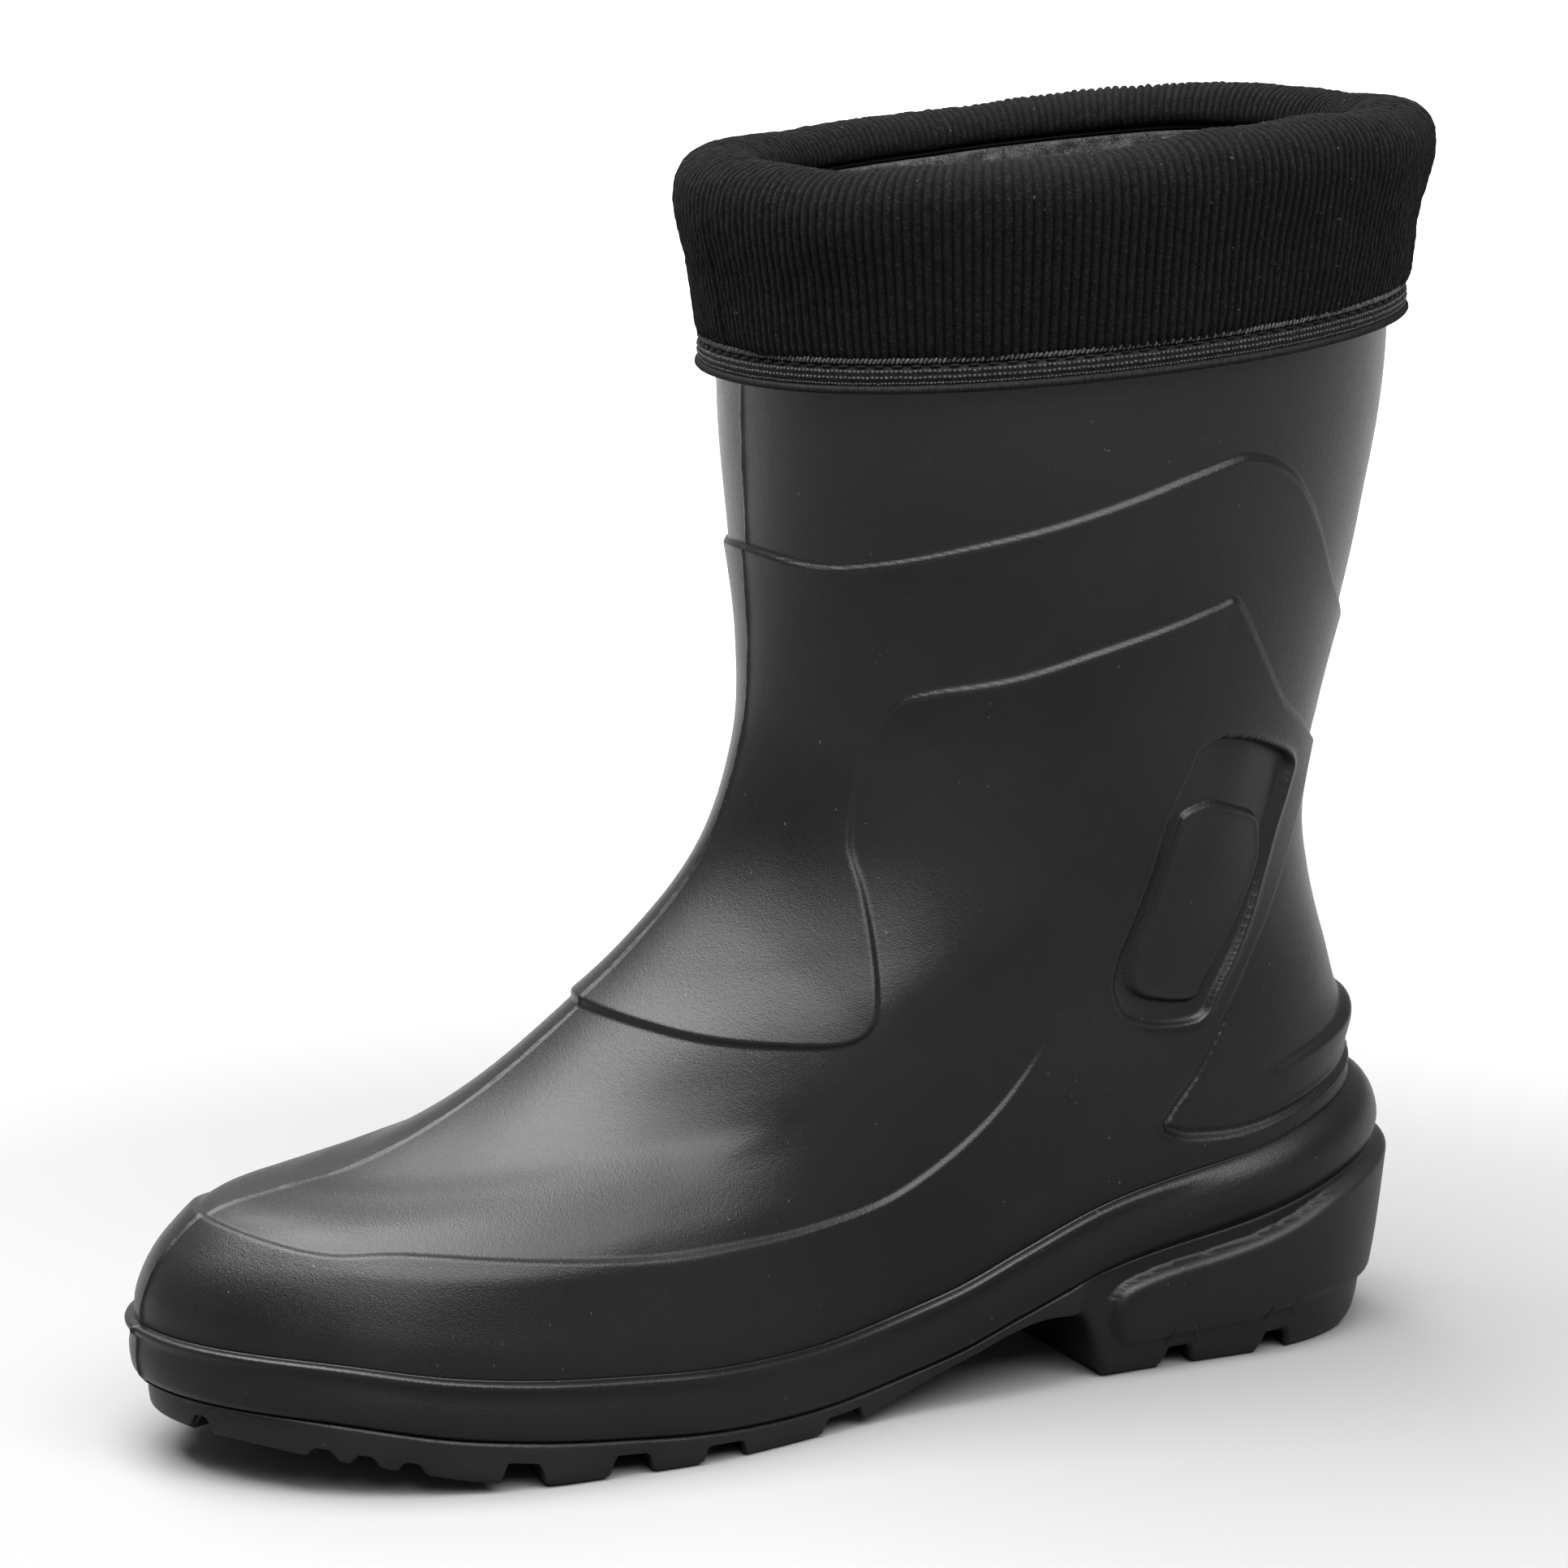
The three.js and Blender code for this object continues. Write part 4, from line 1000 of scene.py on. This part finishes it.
def plush(name):
    """The cuff's ribbed pile: painted shade between its ribs, painted highlights on its tips, a
    little lint.
    """
    m = Nodes(name)
    node = m.tree.nodes.new("ShaderNodeAttribute")
    node.attribute_name = "wale"
    wale = node.outputs["Fac"]
    pile = m.noise(2600, 3.0, 0.7)
    tuft = m.noise(1250, 3.0, 0.75)
    patch = m.noise(60, 2.0, 0.5)
    tint = m.noise(140, 2.0, 0.5)
    lint = m.ramp(m.noise(760, 1.0, 0.4), 0.76, 0.8)
    colour = m.blend(m.ramp(tint, 0.35, 0.65), (0.0009, 0.0007, 0.0014), (0.0014, 0.0010, 0.0010))
    colour = m.blend(m.ramp(tuft, 0.49, 0.68), colour, (0.0075, 0.0068, 0.0075))
    # painted highlights: lighter flecks at the pile's peaks stand in for light catching the fibre
    # tips
    colour = m.blend(m.ramp(pile, 0.55, 0.74), colour, (0.022, 0.0205, 0.022))
    # painted shade: the gaps between the ribs are darkened almost to black
    colour = m.blend(m.ramp(wale, 0.45, 1.0, 0.98, 0.0), colour, (0.0004, 0.0004, 0.0005))
    m.link(m.blend(lint, colour, (0.03, 0.03, 0.032)), "Base Color")
    m.link(m.ramp(patch, 0.3, 0.7, 0.85, 0.95), "Roughness")
    m.set(**{"Specular IOR Level": 0.06, "Sheen Weight": 0.016, "Sheen Roughness": 0.25,
             "Sheen Tint": (0.84, 0.82, 0.86, 1)})
    m.bumps((tuft, 0.8, 0.0007), (pile, 1.0, 0.0006))
    return m.material


def fleece(name, dark, light, fleck):
    """Curly fleece or felt with paler fibre ends."""
    m = Nodes(name)
    clump = m.noise(420, 4.0, 0.65)
    fibre = m.noise(2400, 2.0, 0.7)
    colour = m.blend(m.ramp(clump, 0.35, 0.68), dark, light)
    m.link(m.blend(m.ramp(fibre, 0.52, 0.8), colour, fleck), "Base Color")
    m.set(**{"Roughness": 0.95, "Specular IOR Level": 0.1, "Sheen Weight": 0.2,
             "Sheen Roughness": 0.4})
    m.bumps((clump, 0.8, 0.0012), (fibre, 0.8, 0.0005))
    return m.material


def thread(name, dark, light, gloss, sheen):
    """Woven tape or sewing thread."""
    m = Nodes(name)
    strands = m.noise(1500, 2.0, 0.6, (1, 1, 0.35))
    m.link(m.blend(m.ramp(strands, 0.35, 0.7), dark, light), "Base Color")
    m.set(**{"Roughness": 0.6, "Specular IOR Level": gloss, "Sheen Weight": sheen,
             "Sheen Roughness": 0.35})
    m.bumps((strands, 0.4, 0.0002))
    return m.material


for material, *pieces in (
        (rubber("foam_rubber", (0.0015, 0.0015, 0.0017), (0.0026, 0.0026, 0.0028), 0.37), upper),
        (rubber("foam_rubber_sole", (0.0026, 0.0026, 0.0027), (0.0046, 0.0046, 0.0046), 0.45),
         sole),
        (plush("ribbed_plush"), cuff),
        (fleece("charcoal_fleece", (0.008, 0.0081, 0.008), (0.034, 0.0345, 0.0335),
                (0.095, 0.096, 0.094)), sock, sock_sole),
        (fleece("footbed_felt", (0.01, 0.01, 0.01), (0.03, 0.03, 0.03), (0.06, 0.06, 0.06)),
         footbed),
        (thread("hem_tape_weave", (0.0012, 0.0012, 0.0014), (0.006, 0.006, 0.0064), 0.08, 0.012),
         tape, lock_base, join, line),
        (thread("sewing_thread", (0.015, 0.015, 0.016), (0.05, 0.05, 0.051), 0.12, 0.015),
         lock, chain)):
    for piece in pieces:
        piece.data.materials.append(material)


# ---- stage
# The floor is a plain pale sweep. It is lit from above near the boot, and its paint is
# lighter further off, where less of that light falls.
paper = Nodes("pale_floor")
flat = paper.new("VectorMath", Vector=paper.place)
flat.operation = "LENGTH"
paper.link(paper.blend(paper.ramp(flat.outputs["Value"], 0.25, 3.0), (0.14, 0.14, 0.14),
                       (0.8, 0.8, 0.8)), "Base Color")
paper.set(Roughness=0.95)
sweep = bpy.data.meshes.new("floor")
sweep.from_pydata([(-12, -12, 0), (12, -12, 0), (12, 12, 0), (-12, 12, 0)], [], [(0, 1, 2, 3)])
sweep.materials.append(paper.material)
floor = add_object("floor", sweep)
floor.location.z = -0.0002

scene = bpy.context.scene
scene.view_settings.view_transform = "Standard"
world = bpy.data.worlds.new("studio")
scene.world = world
world.use_nodes = True
background = world.node_tree.nodes["Background"]
background.inputs["Color"].default_value = (1, 1, 1, 1)
background.inputs["Strength"].default_value = 0.5


def aim(ob, place, target):
    """Puts a light or the camera at its place, looking at a target. Both in metres."""
    ob.location = place
    ob.rotation_euler = (Vector(target) - Vector(place)).to_track_quat("-Z", "Y").to_euler()


def soft_light(name, place, target, size, radiance):
    """An area light of this size and brightness."""
    data = bpy.data.lights.new(name, "AREA")
    data.shape = "RECTANGLE"
    data.size, data.size_y = size
    data.energy = radiance * math.pi * size[0] * size[1]
    ob = add_object(name, data)
    aim(ob, place, target)
    ob.visible_camera = False


BOOT = (0, 0, 0.1)
soft_light("overhead", (0, -0.75, 3.0), BOOT, (3.0, 2.4), 22)
soft_light("overhead_left", (-2.6, 0, 2.9), BOOT, (1.4, 1.6), 9)
soft_light("overhead_right", (2.2, 0.1, 2.45), BOOT, (2.8, 2.0), 13)

camera_data = bpy.data.cameras.new("camera")
camera_data.sensor_width = camera_data.sensor_height = 36
camera_data.lens = 138.5
camera = add_object("camera", camera_data)
aim(camera, (1.1235, -0.549, 0.385), (0, 0.0005, 0.1295))
scene.camera = camera
